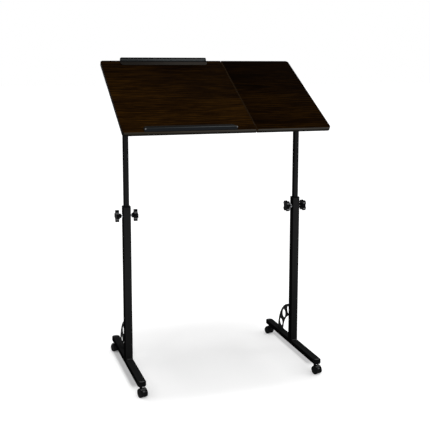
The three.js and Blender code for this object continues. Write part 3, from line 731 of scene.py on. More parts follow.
@dataclass(frozen=True)
class WengeBoard(Finish):
    """Dark wenge laminate, its grain along the desk's width, with painted shade and a painted seam
    highlight.
    """

    name: str
    centre: Triple
    tilt: float
    seam: float
    shift: float
    level: float
    dark: Triple = (0.0036, 0.0013, 0.0002)
    middle: Triple = (0.0120, 0.0048, 0.0007)
    light: Triple = (0.0330, 0.0135, 0.0014)
    # Colour of the painted highlight on the seam's rounded arrises.
    rubbed: Triple = (0.0220, 0.0120, 0.0056)
    stops: Triple = (0.41, 0.51, 0.62)
    bands: Grain = Grain((2.4, 24, 1), 3, 0.6, 0.4)
    streaks: Grain = Grain((11, 165, 1), 4, 0.65, 0.3)
    fibres: Grain = Grain((24, 460, 30), 4, 0.7)
    slow: Grain = Grain((2.2, 6, 1), 2)
    pores: Grain = Grain((70, 1500, 200), 2, 0.5)
    shares: tuple[float, ...] = (0.24, 0.44, 0.22, 0.16, 0.07)
    lift: float = -0.06
    pore_edge: Pair = (0.62, 0.70)
    pore_dark: float = 0.5
    seed_step: float = 3.7
    cathedral: Pair = (-0.20, 0.06)
    arch_scale: float = 0.085
    # Painted shade: near_far and left_right darken the wood towards the back and towards the right.
    near_far: Ramp = (-0.25, 0.25, 1.05, 0.44)
    left_right: Ramp = (-0.35, 0.05, 1, 0.75)
    seam_rub: Ramp = (0.0012, 0.0034, 1, 0)
    sheen: Ramp = (0.2, 0.8, 0.46, 0.6)
    fibre_height: float = 0.6
    pore_height: float = -0.7
    relief: Pair = (0.25, 0.0002)
    specular: float = 0.001

    def cathedral_arches(self, bench: NodeBench, board: Wire) -> Wire:
        """The arches of a plain-sawn veneer.

        Args:
            bench: The material's bench.
            board: The point on the board.

        Returns:
            Their value, between 0 and 1.
        """
        east, north = self.cathedral
        offset = (-self.arch_scale * east, -north, 0)
        inputs = {"Vector": bench.stretched(board, (self.arch_scale, 1, 0), offset), "Scale": 26}
        inputs.update({"Distortion": 5, "Detail": 3, "Detail Scale": 1.6})
        inputs["Detail Roughness"] = 0.6
        settings = {"wave_type": "RINGS", "rings_direction": "SPHERICAL"}
        return bench.add("ShaderNodeTexWave", settings, inputs, "Fac")

    def make(self) -> bpy.types.Material:
        """Builds bands, streaks, fibres, arches and pores over one another."""
        bench = NodeBench(self.name)
        board = bench.place(self.centre, self.tilt)
        seed = (0, self.shift, self.seed_step * self.shift)
        patterns = (self.bands, self.streaks, self.fibres, self.slow)
        layers = [bench.noise(board, pattern, seed) for pattern in patterns]
        fibres = layers[2]
        layers.append(self.cathedral_arches(bench, board))
        tone = sum(layer * share for layer, share in zip(layers, self.shares)) + self.lift
        tones = (self.dark, self.middle, self.light)
        colour = bench.graded(tone, dict(zip(self.stops, tones)))
        pores = bench.noise(board, self.pores, seed).ramp(*self.pore_edge)
        wood = bench.mixed(pores * self.pore_dark, colour, self.dark)
        across = board.part(Axis.X)
        low, high, near, far = self.near_far
        # Painted shade: the wood darkens towards the back and towards the right.
        fade = board.part(Axis.Y).ramp(low, high, near * self.level, far * self.level)
        lit = bench.mixed(fade * across.ramp(*self.left_right), BLACK, wood)
        # Painted highlight along the seam's rounded arrises.
        seam = abs(across - self.seam).ramp(*self.seam_rub)
        height = fibres * self.fibre_height + pores * self.pore_height
        return bench.done(
            Base_Color=bench.mixed(seam, lit, self.rubbed),
            Roughness=fibres.ramp(*self.sheen),
            Normal=bench.bumped(height, *self.relief),
            Specular_IOR_Level=self.specular,
        )


@dataclass(frozen=True)
class EdgeBand(Finish):
    """The dark band round a board's edges, with painted highlights along the front and the seam."""

    centre: Triple
    tilt: float
    seam: float
    front: float
    dark: Triple = (0.0042, 0.0036, 0.0028)
    # Painted highlight on the front arrises, lighter to the right; inner is the seam's painted
    # highlight.
    rubbed_left: Triple = (0.0290, 0.0240, 0.0170)
    rubbed_right: Triple = (0.0440, 0.0400, 0.0350)
    inner: Triple = (0.0220, 0.0120, 0.0056)
    grain: Grain = Grain((60, 60, 900))
    cloud: Grain = Grain((14, 14, 14), 2)
    front_rub: Pair = (0.0005, 0.003)
    seam_rub: Ramp = (0.003, 0.006, 1, 0)
    left_right: Pair = (-0.38, 0.2)
    height_rubs: tuple[Ramp, ...] = ((0.0255, 0.0290, 0, 0.55), (0.0312, 0.0338, 0, 0.5))
    cloud_share: float = 0.5
    rub_share: float = 0.7
    sheen: Ramp = (0.2, 0.8, 0.5, 0.65)
    relief: Pair = (0.15, 0.0001)
    specular: float = 0.01

    def make(self) -> bpy.types.Material:
        """Builds the band's fine brushing and the painted highlights on its arrises."""
        bench = NodeBench("board_edge_band")
        board = bench.place(self.centre, self.tilt)
        grain = bench.noise(board, self.grain)
        cloud = bench.noise(board, self.cloud)
        across, depth, level = (board.part(axis) for axis in Axis)
        start, end = self.front_rub
        front = depth.ramp(self.front + start, self.front + end, 1, 0)
        high = sum(level.ramp(*rub) for rub in self.height_rubs)
        seam = abs(across - self.seam).ramp(*self.seam_rub) * high
        # Painted highlights along the front and the seam, lighter towards the right.
        rubbed = bench.mixed(across.ramp(*self.left_right), self.rubbed_left, self.rubbed_right)
        share = front * high * (cloud * self.cloud_share + self.rub_share)
        return bench.done(
            Base_Color=bench.mixed(seam, bench.mixed(share, self.dark, rubbed), self.inner),
            Roughness=grain.ramp(*self.sheen),
            Normal=bench.bumped(grain, *self.relief),
            Specular_IOR_Level=self.specular,
        )


@dataclass(frozen=True)
class PowderCoat(Finish):
    """Black satin powder coat on steel, with painted shade that darkens it towards the floor."""

    name: str = "black_powder_coat"
    tone: float = 0.0122
    specular: float = 0.012
    peel: Grain = Grain((900, 900, 900), 2, 0.5)
    cloud: Grain = Grain((16, 16, 5), 4)
    speck: Grain = Grain((260, 260, 260), 3, 0.6)
    speck_edge: Pair = (0.35, 0.65)
    cloud_share: float = 0.6
    peel_share: float = 0.5
    dark_shares: Triple = (0.7, 0.7, 0.7)
    light_shares: Triple = (1.25, 1.25, 1.3)
    # Painted shade towards the floor.
    fade: Ramp = (0.05, 0.5, 0.55, 1)
    sheen: Ramp = (0.25, 0.75, 0.5, 0.66)
    relief: Pair = (0.3, 0.00012)

    def make(self) -> bpy.types.Material:
        """Builds the coat's fine orange peel and a slight uneven sheen."""
        bench = NodeBench(self.name)
        point = bench.place()
        peel = bench.noise(point, self.peel)
        cloud = bench.noise(point, self.cloud)
        speck = bench.noise(point, self.speck).ramp(*self.speck_edge)
        share = cloud * self.cloud_share + speck * (1 - self.cloud_share)
        tones = (dimmed(shares, self.tone) for shares in (self.dark_shares, self.light_shares))
        coat = bench.mixed(share, *tones)
        rough = cloud * (1 - self.peel_share) + peel * self.peel_share
        return bench.done(
            # Painted shade: the coat darkens towards the floor.
            Base_Color=bench.mixed(point.part(Axis.Z).ramp(*self.fade), BLACK, coat),
            Roughness=rough.ramp(*self.sheen),
            Normal=bench.bumped(peel, *self.relief),
            Specular_IOR_Level=self.specular,
        )


@dataclass(frozen=True)
class MouldedPlastic(Finish):
    """Injection-moulded plastic with a fine spark-eroded grain."""

    name: str
    tone: Triple
    gloss: Pair = (0.4, 0.52)
    specular: float = 0.01
    worn: Triple | None = None
    grain: Grain = Grain((1400, 1400, 1400), 2, 0.6)
    cloud: Grain = Grain((40, 40, 40))
    cloud_dim: float = 0.8
    cloud_share: float = 0.6
    gloss_range: Pair = (0.25, 0.75)
    relief: Pair = (0.25, 0.0001)

    def make(self) -> bpy.types.Material:
        """Builds the grain, a mottling and the sheen, with a painted shade to the left of a given
        stretch.
        """
        bench = NodeBench(self.name)
        point = bench.place()
        grain = bench.noise(point, self.grain)
        cloud = bench.noise(point, self.cloud)
        colour = bench.mixed(cloud, dimmed(self.tone, self.cloud_dim), self.tone)
        # Painted shade: where set, the colour darkens towards the left.
        if self.worn:
            start, end, share = self.worn
            worn = point.part(Axis.X).ramp(start, end)
            colour = bench.mixed(worn, dimmed(self.tone, share), colour)
        rough = cloud * self.cloud_share + grain * (1 - self.cloud_share)
        return bench.done(
            Base_Color=colour,
            Roughness=rough.ramp(*self.gloss_range, *self.gloss),
            Normal=bench.bumped(grain, *self.relief),
            Specular_IOR_Level=self.specular,
        )


@dataclass(frozen=True)
class ZincPlate(Finish):
    """Zinc plating on screws, studs and axles."""

    name: str = "zinc_plate"
    tone: Triple = (0.56, 0.57, 0.59)
    cloud: Grain = Grain((220, 220, 220))
    marks: Grain = Grain((2600, 300, 300), 2)
    cloud_dim: float = 0.7
    sheen: Ramp = (0.3, 0.7, 0.24, 0.42)
    relief: Pair = (0.12, 0.00005)

    def make(self) -> bpy.types.Material:
        """Builds turning marks and a slightly cloudy plating."""
        bench = NodeBench(self.name)
        point = bench.place()
        cloud = bench.noise(point, self.cloud)
        return bench.done(
            Base_Color=bench.mixed(cloud, dimmed(self.tone, self.cloud_dim), self.tone),
            Metallic=1.0,
            Roughness=cloud.ramp(*self.sheen),
            Normal=bench.bumped(bench.noise(point, self.marks), *self.relief),
        )


POWDER = PowderCoat()
# Painted shade for the tubes' side faces and rounded corners.
SHADED_SIDE_POWDER = PowderCoat("black_powder_coat_side", 0.0030, 0.0)
# Painted light: a copy of the coat for the feet, gussets and leg welds, its reflection all but
# removed and a lighter colour in its place.
FOOT_LIT_POWDER = PowderCoat("black_powder_coat_foot", 0.0185, 0.0004)
# Painted highlight: a light colour for the front weld bead at each column's foot.
WELD_PAINTED_HIGHLIGHT = PowderCoat("black_powder_coat_weld", 0.09, 0.1)
KNOB_PLASTIC = MouldedPlastic("knob_plastic", (0.0045, 0.0045, 0.005), (0.34, 0.46), 0.006)
# Painted highlight on the knobs' lobes.
KNOB_PAINTED_HIGHLIGHT = MouldedPlastic("knob_rim_plastic", (0.10, 0.10, 0.103), (0.3, 0.4), 0.1)
CAP_PLASTIC = MouldedPlastic("cap_plastic", (0.0045, 0.0045, 0.005), (0.38, 0.5), 0.002)
# Painted highlight on the foot caps' tops.
CAP_PAINTED_HIGHLIGHT = MouldedPlastic("cap_sheen_plastic", (0.036, 0.036, 0.037), (0.3, 0.4), 0.05)
LEDGE_FACE = MouldedPlastic("ledge_plastic", (0.0098, 0.0110, 0.0125))
LEDGE_LIT = MouldedPlastic("ledge_lit_plastic", (0.0290, 0.0246, 0.0208), worn=(-0.30, -0.03, 0.4))
# Painted highlight on the lip's inner face, darker towards the left.
LEDGE_INSIDE_HIGHLIGHT = MouldedPlastic(
    "ledge_inside_plastic", (0.094, 0.102, 0.104), worn=(-0.30, -0.12, 0.5)
)
# Painted highlight on the front ledge's top band, darker towards the left.
LEDGE_RIM_HIGHLIGHT = MouldedPlastic(
    "ledge_rim_plastic", (0.0540, 0.0590, 0.0620), specular=0.02, worn=(-0.30, -0.02, 0.3)
)
# Painted highlight at the ends of the front lip.
LEDGE_TIP_HIGHLIGHT = MouldedPlastic("ledge_tip_plastic", (0.1600, 0.1600, 0.1600), specular=0.02)
# Painted shade: a dark copy of the ledge plastic for the front flange and the rear top band.
LEDGE_PAINTED_SHADE = MouldedPlastic("ledge_dark_plastic", (0.0050, 0.0046, 0.0042))
WHEEL_PLASTIC = MouldedPlastic("castor_plastic", (0.0055, 0.0055, 0.0060), (0.36, 0.5))
# Painted highlight on the castor hoods.
HOOD_PAINTED_HIGHLIGHT = MouldedPlastic("castor_hood_sheen", (0.075, 0.075, 0.078), (0.3, 0.42), 0.05)
ZINC = ZincPlate()
# Zinc plate darkened for the castor stems.
DARK_ZINC = ZincPlate("black_zinc_plate", (0.045, 0.045, 0.048))


# Sub-assemblies


@dataclass
class Ledge:
    """A moulded ledge on the large board with its lip and two end ribs."""

    name: str
    centre: float
    length: float
    end: End
    edge: float
    surface: float
    band: float
    flange_finish: Finish
    rim_finish: Finish
    wall: float = 0.0026
    tip_wall: float = 0.0014
    depth: float = 0.034
    lip: float = 0.015
    corner: float = 0.006
    flange_corner: float = 0.014
    setback: float = 0.002
    rounding: float = 0.00055
    rib_reach: float = 0.009
    rib_width: float = 0.003
    rib_drop: float = 0.0045
    rib_rise: float = 0.0026
    rib_slant: Pair = (0.72, 0.69)
    root: float = 0.0105
    tip_length: float = 0.0045
    tip_height: float = 0.005
    above_flange: float = 0.0005

    def __post_init__(self) -> None:
        """Works out the places that the pieces share."""
        self.inward: int = -self.end.value
        self.half: float = self.length / 2
        self.base: float = self.surface + SEAT_GAP
        self.top: float = self.base + self.lip
        self.face: float = self.edge + self.inward * self.setback

    def slab(self, name: str, near: float, far: float, level: float) -> Workpiece:
        """A block as long as the ledge.

        Args:
            name: The piece's name.
            near: Where it starts, inward from the lip's face.
            far: Where it ends.
            level: Its upper face.

        Returns:
            The block.
        """
        ys = sorted((self.face + self.inward * near, self.face + self.inward * far))
        low = (self.centre - self.half, ys[0], self.base)
        return Workpiece.block(name, low, (self.centre + self.half, ys[1], level))

    def flange(self) -> Workpiece:
        """The tapered flange on the board, its free corners rounded.

        Returns:
            The flange.
        """
        flange = self.slab("flange", self.wall / 2, self.depth, self.base + self.wall)
        tip = past(Axis.Y, self.face + self.inward * self.depth, self.inward)
        upper = both(past(Axis.Z, self.base + self.wall), along(Axis.X))
        taper = (0, 0, self.tip_wall - self.wall)
        flange.edit("EDGE", both(tip, upper), bpy.ops.transform.translate, value=taper)
        return flange.bevel(both(tip, along(Axis.Z)), self.flange_corner, segments=10)

    def rib(self, side: Side) -> Workpiece:
        """The slanted rib at one end of the lip.

        Args:
            side: Which end.

        Returns:
            The rib.
        """
        start = self.centre + side.value * self.half
        inner = self.face + self.inward * self.rib_reach
        xs = sorted((start, start - side.value * self.rib_width))
        ys = sorted((self.face, inner))
        top = self.top - self.rib_drop
        rib = Workpiece.block("rib", (xs[0], ys[0], self.base), (xs[1], ys[1], top))
        slant = Vector((0, self.inward * self.rib_slant[0], self.rib_slant[1])).normalized()
        return rib.halve(Vector((start, inner, self.base + self.rib_rise)), slant)

    def paint(self, ledge: Workpiece) -> None:
        """Gives the ledge's parts their finishes, painted highlights and painted shade among them.

        Args:
            ledge: The whole moulding.
        """
        front = self.end is End.FRONT
        reach = self.half - self.tip_length
        tip_level = self.top - self.tip_height
        root = self.face + self.inward * self.root
        ledge.score(Axis.Z, self.top - self.band)
        if front:
            for side in Side:
                ledge.score(Axis.X, self.centre + side.value * reach)
            ledge.score(Axis.Z, tip_level)
        # On the rear ledge, the flange next to the lip keeps the darker plain plastic as painted
        # contact shade.
        ledge.score(Axis.Y, root)
        ledge.dress(LEDGE_FACE)
        flat = self.base + self.wall + self.above_flange
        # The rest of the flange: painted light on the rear ledge, painted shade on the front.
        ledge.dress(
            self.flange_finish,
            lambda place, normal: normal.z > 0.9
            and place.z < flat
            and (place.y - root) * self.inward > 0,
        )
        # Painted highlight on the lip's inner face.
        ledge.dress(LEDGE_INSIDE_HIGHLIGHT, both(facing(Axis.Y, self.inward, 0.9), past(Axis.Z, flat)))
        # The top band: painted highlight on the front ledge, painted shade on the rear.
        ledge.dress(self.rim_finish, lambda place, normal: place.z > self.top - self.band)
        if front:
            # Painted highlights at both ends of the front lip.
            ledge.dress(
                LEDGE_TIP_HIGHLIGHT,
                lambda place, normal: abs(place.x - self.centre) > reach
                and place.z > tip_level
                and normal.y * self.inward < 0.5,
            )

    def build(self, raised: Matrix) -> None:
        """Makes the moulding and lays it on its board.

        Args:
            raised: From the pivot's frame to the desk's.
        """
        ledge = self.slab(self.name + "_moulding", 0, self.wall, self.top)
        ledge.bevel(both(along(Axis.Y), past(Axis.Z, self.top)), self.corner, segments=8)
        ledge.fuse(self.flange(), *(self.rib(side) for side in Side))
        ledge.round_edges(self.rounding, segments=3, angle=25)
        self.paint(ledge)
        ledge.place(raised)
        ledge.fit("large_panel", "ledge_plastic", self.name, angle=40)


@dataclass
class Boards:
    """The two tilting boards with their ledges, in the pivot's own frame."""

    tilt: float = math.radians(29.6)
    pivot: float = 1.0459
    underside: float = 0.020
    surface: float = 0.036
    front: float = -0.226
    back: float = 0.274
    half_width: float = 0.400
    seam: Pair = (0.099, 0.101)
    corner: float = 0.012
    seam_corner: float = 0.002
    edge_round: float = 0.0015
    side_facing: float = 0.93

    @property
    def raised(self) -> Matrix:
        """From the pivot's frame to the desk's."""
        return Matrix.Translation((0, LINE, self.pivot)) @ Matrix.Rotation(self.tilt, 4, "X")

    def build(self) -> None:
        """Makes both boards and both ledges."""
        self.board("large_panel", (-self.half_width, self.seam[0]), Side.LEFT, (0.0, 1.18))
        self.board("small_panel", (self.seam[1], self.half_width), Side.RIGHT, (4.3, 0.62))
        for name, centre, length, end, edge, band, flange, rim in (
            ("front_ledge", -0.149, 0.345, End.FRONT, self.front, 0.0009, LEDGE_PAINTED_SHADE, LEDGE_RIM_HIGHLIGHT),
            ("rear_ledge", -0.144, 0.356, End.REAR, self.back, 0.0044, LEDGE_LIT, LEDGE_PAINTED_SHADE),
        ):
            ledge = Ledge(name, centre, length, end, edge, self.surface, band, flange, rim)
            ledge.build(self.raised)

    def board(self, name: str, span: Pair, outer: Side, grain: Pair) -> None:
        """Makes one board.

        Args:
            name: The solid that it stands for, and its body.
            span: Its left and right edges.
            outer: The side with the wide corners.
            grain: The shift of the grain's pattern and how light the board is.
        """
        low = (span[0], self.front, self.underside)
        board = Workpiece.block(name + "_board", low, (span[1], self.back, self.surface))
        edges = dict(zip(Side, span))
        for side in Side:
            radius, segments = (self.corner, 10) if side is outer else (self.seam_corner, 4)
            edge = past(Axis.X, edges[side], side.value)
            board.bevel(both(along(Axis.Z), edge), radius, segments)
        board.bevel(square_to(Axis.Z), self.edge_round, segments=4)
        pivot = ((0, LINE, self.pivot), self.tilt, sum(self.seam) / 2)
        board.dress(WengeBoard(name + "_wenge", *pivot, *grain))
        band = EdgeBand(*pivot, self.front)
        board.dress(band, lambda place, normal: abs(normal.z) < self.side_facing)
        board.place(self.raised)
        board.fit(name, "wood_board", name, angle=50)


@dataclass
class Crossbar:
    """The crossbar with its caps, and the inner tubes welded under it."""

    size: float = 0.020
    half_length: float = 0.361
    bottom: float = 1.0089
    cap: float = 0.004
    cap_round: float = 0.0014
    shank_half: float = 0.0081
    shank_depth: float = 0.014
    shank_overlap: float = 0.002
    tube_bottom: float = 0.5323
    tube_top: float = 1.0086
    weld_radius: float = 0.0016
    weld_place: float = 0.0102
    weld_reach: float = 0.007

    def build(self) -> None:
        """Makes the bar, its caps and the tubes."""
        middle = self.bottom + self.size / 2
        size = (self.size, self.size)
        span = (-self.half_length, self.half_length)
        bar = square_tube("crossbar_tube", Axis.X, span, (LINE, middle), size, POWDER)
        bar.fit("upper_frame", "painted_steel", "crossbar")
        span = (self.tube_bottom, self.tube_top)
        for side in Side:
            self.end_cap(side, middle)
            name = side.word + "_slide_tube"
            tube = square_tube(name, Axis.Z, span, (side.x, LINE), size, POWDER)
            tube.fit("upper_frame", "painted_steel", side.word + "_inner_tube")
            self.weld(side)

    def weld(self, side: Side) -> None:
        """Makes the beads between the bar and one tube.

        Args:
            side: Which tube.
        """
        beads = []
        for edge in (-1, 1):
            x = side.x + edge * self.weld_place
            ends = (Vector((x, LINE + way * self.weld_reach, self.bottom)) for way in (-1, 1))
            beads.append(WeldBead(*ends, self.weld_radius).build(side.word + "_tube_weld"))
        beads[0].join(beads[1]).dress(POWDER).fit("upper_frame", "painted_steel")

    def end_cap(self, side: Side, middle: float) -> None:
        """Makes the cap in one end of the bar.

        Args:
            side: Which end.
            middle: The bar's height.
        """
        half = (self.size / 2, self.size / 2)
        start = self.half_length + SEAT_GAP
        end = start + self.cap
        name = f"crossbar_{side.word}_plug"
        cap = Workpiece.post(name, Axis.X, start, end, half, (0, middle))
        cap.bevel(along(Axis.X), TUBE_CORNER, segments=5)
        cap.bevel(past(Axis.X, end), self.cap_round, segments=4)
        span = (start - self.shank_depth, start + self.shank_overlap)
        half = (self.shank_half, self.shank_half)
        cap.fuse(Workpiece.post("shank", Axis.X, *span, half, (0, middle))).place(TO_LINE)
        if side is Side.LEFT:
            cap.place(Axis.X.mirror)
        node = f"crossbar_{side.word}_end_cap"
        cap.dress(CAP_PLASTIC).fit("upper_frame", "black_plastic", node)


@dataclass
class Leg:
    """One leg: foot, gusset, column and collar."""

    side: Side
    column_size: float = 0.030
    column_bottom: float = 0.0623
    column_top: float = 0.6623
    collar_flange: float = 0.004
    collar_round: float = 0.0012
    sleeve_half: float = 0.0131
    sleeve_corner: float = 0.0015
    sleeve_length: float = 0.022
    sleeve_overlap: float = 0.002
    bore_half: float = 0.0104
    foot_underside: float = 0.044
    foot_height: float = 0.018
    foot_width: float = 0.032
    foot_half: float = 0.2625
    foot_cap: float = 0.015
    cap_corner: float = 0.0143
    cap_round: float = 0.0026
    cap_border: float = 0.0024
    shank_half: float = 0.0141
    shank_inset: float = 0.0019
    shank_depth: float = 0.0045
    shank_overlap: float = 0.003
    sheen_place: float = 0.0085
    sheen_reach: float = 0.0035
    gusset_radius: float = 0.140
    gusset_inner: float = 0.090
    gusset_thickness: float = 0.004
    gusset_round: float = 0.0007
    gusset_cut: float = 0.02
    hole_radius: float = 0.114
    hole_width: float = 0.0335
    hole_lengths: Triple = (0.030, 0.040, 0.030)
    hole_step: float = math.radians(27.5)
    column_weld: float = 0.0019
    column_weld_reach: float = 0.011
    front_weld_start: float = -0.006
    gusset_weld: float = 0.0013
    gusset_weld_place: float = 0.0026
    gusset_weld_inset: float = 0.002

    def __post_init__(self) -> None:
        """Works out the places and names that the pieces share."""
        self.x: float = self.side.x
        self.word: str = self.side.word
        self.body: str = self.word + "_leg"
        self.foot_top: float = self.foot_underside + self.foot_height
        self.foot_centre: Pair = (self.x, self.foot_underside + self.foot_height / 2)
        self.column_half: float = self.column_size / 2

    def build(self) -> None:
        """Makes the leg's pieces."""
        span = (self.column_bottom, self.column_top)
        size = (self.column_size, self.column_size)
        name = self.word + "_outer_tube"
        column = square_tube(name, Axis.Z, span, (self.x, LINE), size, POWDER)
        column.fit(self.body, "painted_steel", self.word + "_column")
        self.collar()
        self.foot()
        self.gusset()
        self.welds()
        dress_solid(self.word + "_guide_plug", CAP_PLASTIC)

    def collar(self) -> None:
        """Makes the bush in the column's mouth."""
        start = self.column_top + SEAT_GAP
        end = start + self.collar_flange
        low = start - self.sleeve_length

        def post(name: str, bottom: float, top: float, half: float) -> Workpiece:
            """A square blank about the column's middle."""
            return Workpiece.post(name, Axis.Z, bottom, top, (half, half), (self.x, 0))

        collar = post(self.word + "_bush", start, end, self.column_half)
        collar.bevel(along(Axis.Z), TUBE_CORNER, segments=5)
        collar.bevel(past(Axis.Z, end), self.collar_round, segments=4)
        sleeve = post("sleeve", low, start + self.sleeve_overlap, self.sleeve_half)
        sleeve.bevel(along(Axis.Z), self.sleeve_corner)
        bore = post("bore", low - CUT_OVERRUN, end + CUT_OVERRUN, self.bore_half)
        bore.bevel(along(Axis.Z), TUBE_CORNER, segments=5)
        collar.fuse(sleeve).cut(bore).place(TO_LINE).dress(CAP_PLASTIC)
        collar.fit(self.body, "black_plastic", self.word + "_column_collar")

    def foot(self) -> None:
        """Makes the foot tube and its two rounded end caps."""
        reach = self.foot_half - self.foot_cap
        size = (self.foot_width, self.foot_height)
        span, name = (-reach, reach), self.word + "_foot_tube"
        tube = square_tube(name, Axis.Y, span, self.foot_centre, size, FOOT_LIT_POWDER, Axis.Z)
        tube.fit(self.body, "painted_steel", self.word + "_foot_bar")
        start = -reach - SEAT_GAP
        half = (self.foot_width / 2, self.foot_height / 2)
        name = self.word + "_front_foot_plug"
        cap = Workpiece.post(name, Axis.Y, -self.foot_half, start, half, self.foot_centre)
        nose = both(along(Axis.Z), past(Axis.Y, -self.foot_half, -1))
        cap.bevel(nose, self.cap_corner, segments=12)
        before_tube = past(Axis.Y, start - 2 * HAIR, -1)
        cap.bevel(both(square_to(Axis.Z), before_tube), self.cap_round, segments=4)
        span = (start - self.shank_overlap, start + self.shank_depth)
        half = (self.shank_half, half[1] - self.shank_inset)
        cap.fuse(Workpiece.post("shank", Axis.Y, *span, half, self.foot_centre))
        cap.inset(lambda place, normal: abs(place.z - self.foot_top) < HAIR, self.cap_border)
        # Painted highlight: a light spot on the cap's top near its nose.
        spot = Vector((self.x, self.sheen_place - self.foot_half, self.foot_top))
        cap.dress(CAP_PLASTIC)
        cap.dress(CAP_PAINTED_HIGHLIGHT, lambda place, normal: (place - spot).length < self.sheen_reach)
        rear = cap.copy(self.word + "_rear_foot_plug", Axis.Y.mirror)
        for piece, end in ((cap, End.FRONT), (rear, End.REAR)):
            piece.fit(self.body, "black_plastic", f"{self.word}_{end.word}_foot_cap")

    def gusset(self) -> None:
        """Makes the quarter ring with its three oval holes."""
        half = self.gusset_thickness / 2
        centre = (LINE + self.column_half + SEAT_GAP, self.foot_top + SEAT_GAP)
        corner = Vector((self.x, *centre))
        span = (self.x - half, self.x + half)
        wide = (self.x - self.gusset_cut, self.x + self.gusset_cut)
        name = self.word + "_gusset_plate"
        plate = Workpiece.bar(name, Axis.X, *span, self.gusset_radius, centre, sides=128)
        plate.cut(Workpiece.bar("arch", Axis.X, *wide, self.gusset_inner, centre, sides=96))
        plate.halve(corner, Axis.Y.point(-1)).halve(corner, Axis.Z.point(-1))
        for step, length in zip((-1, 0, 1), self.hole_lengths):
            angle = math.pi / 4 + step * self.hole_step
            spot = corner + self.hole_radius * Vector((0, math.cos(angle), math.sin(angle)))
            turned = Matrix.Translation((0, *spot.yz)) @ Matrix.Rotation(angle, 4, "X")
            shape = Matrix.Diagonal((1, self.hole_width, length, 1))
            plate.cut(Workpiece.bar("hole", Axis.X, *wide, 0.5).place(turned @ shape))
        plate.round_edges(self.gusset_round, segments=3).dress(FOOT_LIT_POWDER)
        plate.fit(self.body, "painted_steel", self.word + "_gusset")

    def welds(self) -> None:
        """Makes the weld beads round the column's foot and the gusset's ends."""
        half, level = self.column_half, self.foot_top + SEAT_GAP
        arc = (self.gusset_inner + self.gusset_radius) / 2
        reach = (self.gusset_radius - self.gusset_inner) / 2 - self.gusset_weld_inset
        right = self.column_weld_reach
        lines = [
            ((self.front_weld_start, -half, level), (right, -half, level), self.column_weld),
            ((-right, half, level), (right, half, level), self.column_weld),
        ]
        for x in (-self.gusset_weld_place, self.gusset_weld_place):
            near, far = arc - reach, arc + reach
            lines += [
                ((x, half + near, level), (x, half + far, level), self.gusset_weld),
                ((x, half, level + near), (x, half, level + far), self.gusset_weld),
            ]
        offset = Vector((self.x, LINE, 0))
        beads = (WeldBead(Vector(a) + offset, Vector(b) + offset, size) for a, b, size in lines)
        front, *rest = (bead.build(self.word + "_leg_welds") for bead in beads)
        # The front bead carries a painted highlight.
        front.dress(WELD_PAINTED_HIGHLIGHT)
        for bead in rest:
            bead.dress(FOOT_LIT_POWDER)
        front.join(*rest).fit(self.body, "painted_steel")


@dataclass
class LobedKnob:
    """A four-lobed knob on a stud, modelled along +X from the stud's foot."""

    name: str
    diameter: float
    thickness: float
    hub_diameter: float
    hub_length: float
    head: float
    cutter: float
    cutter_place: float
    rim: float
    turn: float = 0.0
    dish_share: float = 0.62
    dish_depth: float = 0.0012
    hub_end_share: float = 0.86
    small_round: float = 0.0008

    def build(self) -> Workpiece:
        """Makes the knob's moulding.

        Returns:
            The moulding, its head from self.head to self.head + self.thickness.
        """
        tip = self.head + self.thickness
        knob = Workpiece.bar(self.name, Axis.X, self.head, tip, self.diameter / 2, sides=96)
        ends = (self.head - CUT_OVERRUN, tip + CUT_OVERRUN)
        for number in range(4):
            angle = self.turn + math.pi / 4 + number * math.pi / 2
            centre = (self.cutter_place * math.cos(angle), self.cutter_place * math.sin(angle))
            knob.cut(Workpiece.bar("scallop", Axis.X, *ends, self.cutter, centre, sides=64))
        knob.round_edges(self.rim, segments=5, angle=28)
        radius = self.dish_share * (self.cutter_place - self.cutter)
        floor = tip - self.dish_depth
        dish = Workpiece.bar("dish", Axis.X, floor, tip + CUT_OVERRUN, radius)
        knob.cut(dish.bevel(past(Axis.X, floor, -1), self.small_round))
        start = self.head - self.hub_length
        hub = Workpiece.bar("hub", Axis.X, start, self.head + self.rim, self.hub_diameter / 2)
        end, extrude = facing(Axis.X, -1), bpy.ops.mesh.extrude_region_move
        hub.edit("FACE", end, extrude, TRANSFORM_OT_translate={"value": (-HAIR, 0, 0)})
        hub.edit("FACE", end, bpy.ops.transform.resize, value=(self.hub_end_share,) * 3)
        return knob.fuse(hub.bevel(past(Axis.X, start, -1), self.small_round))


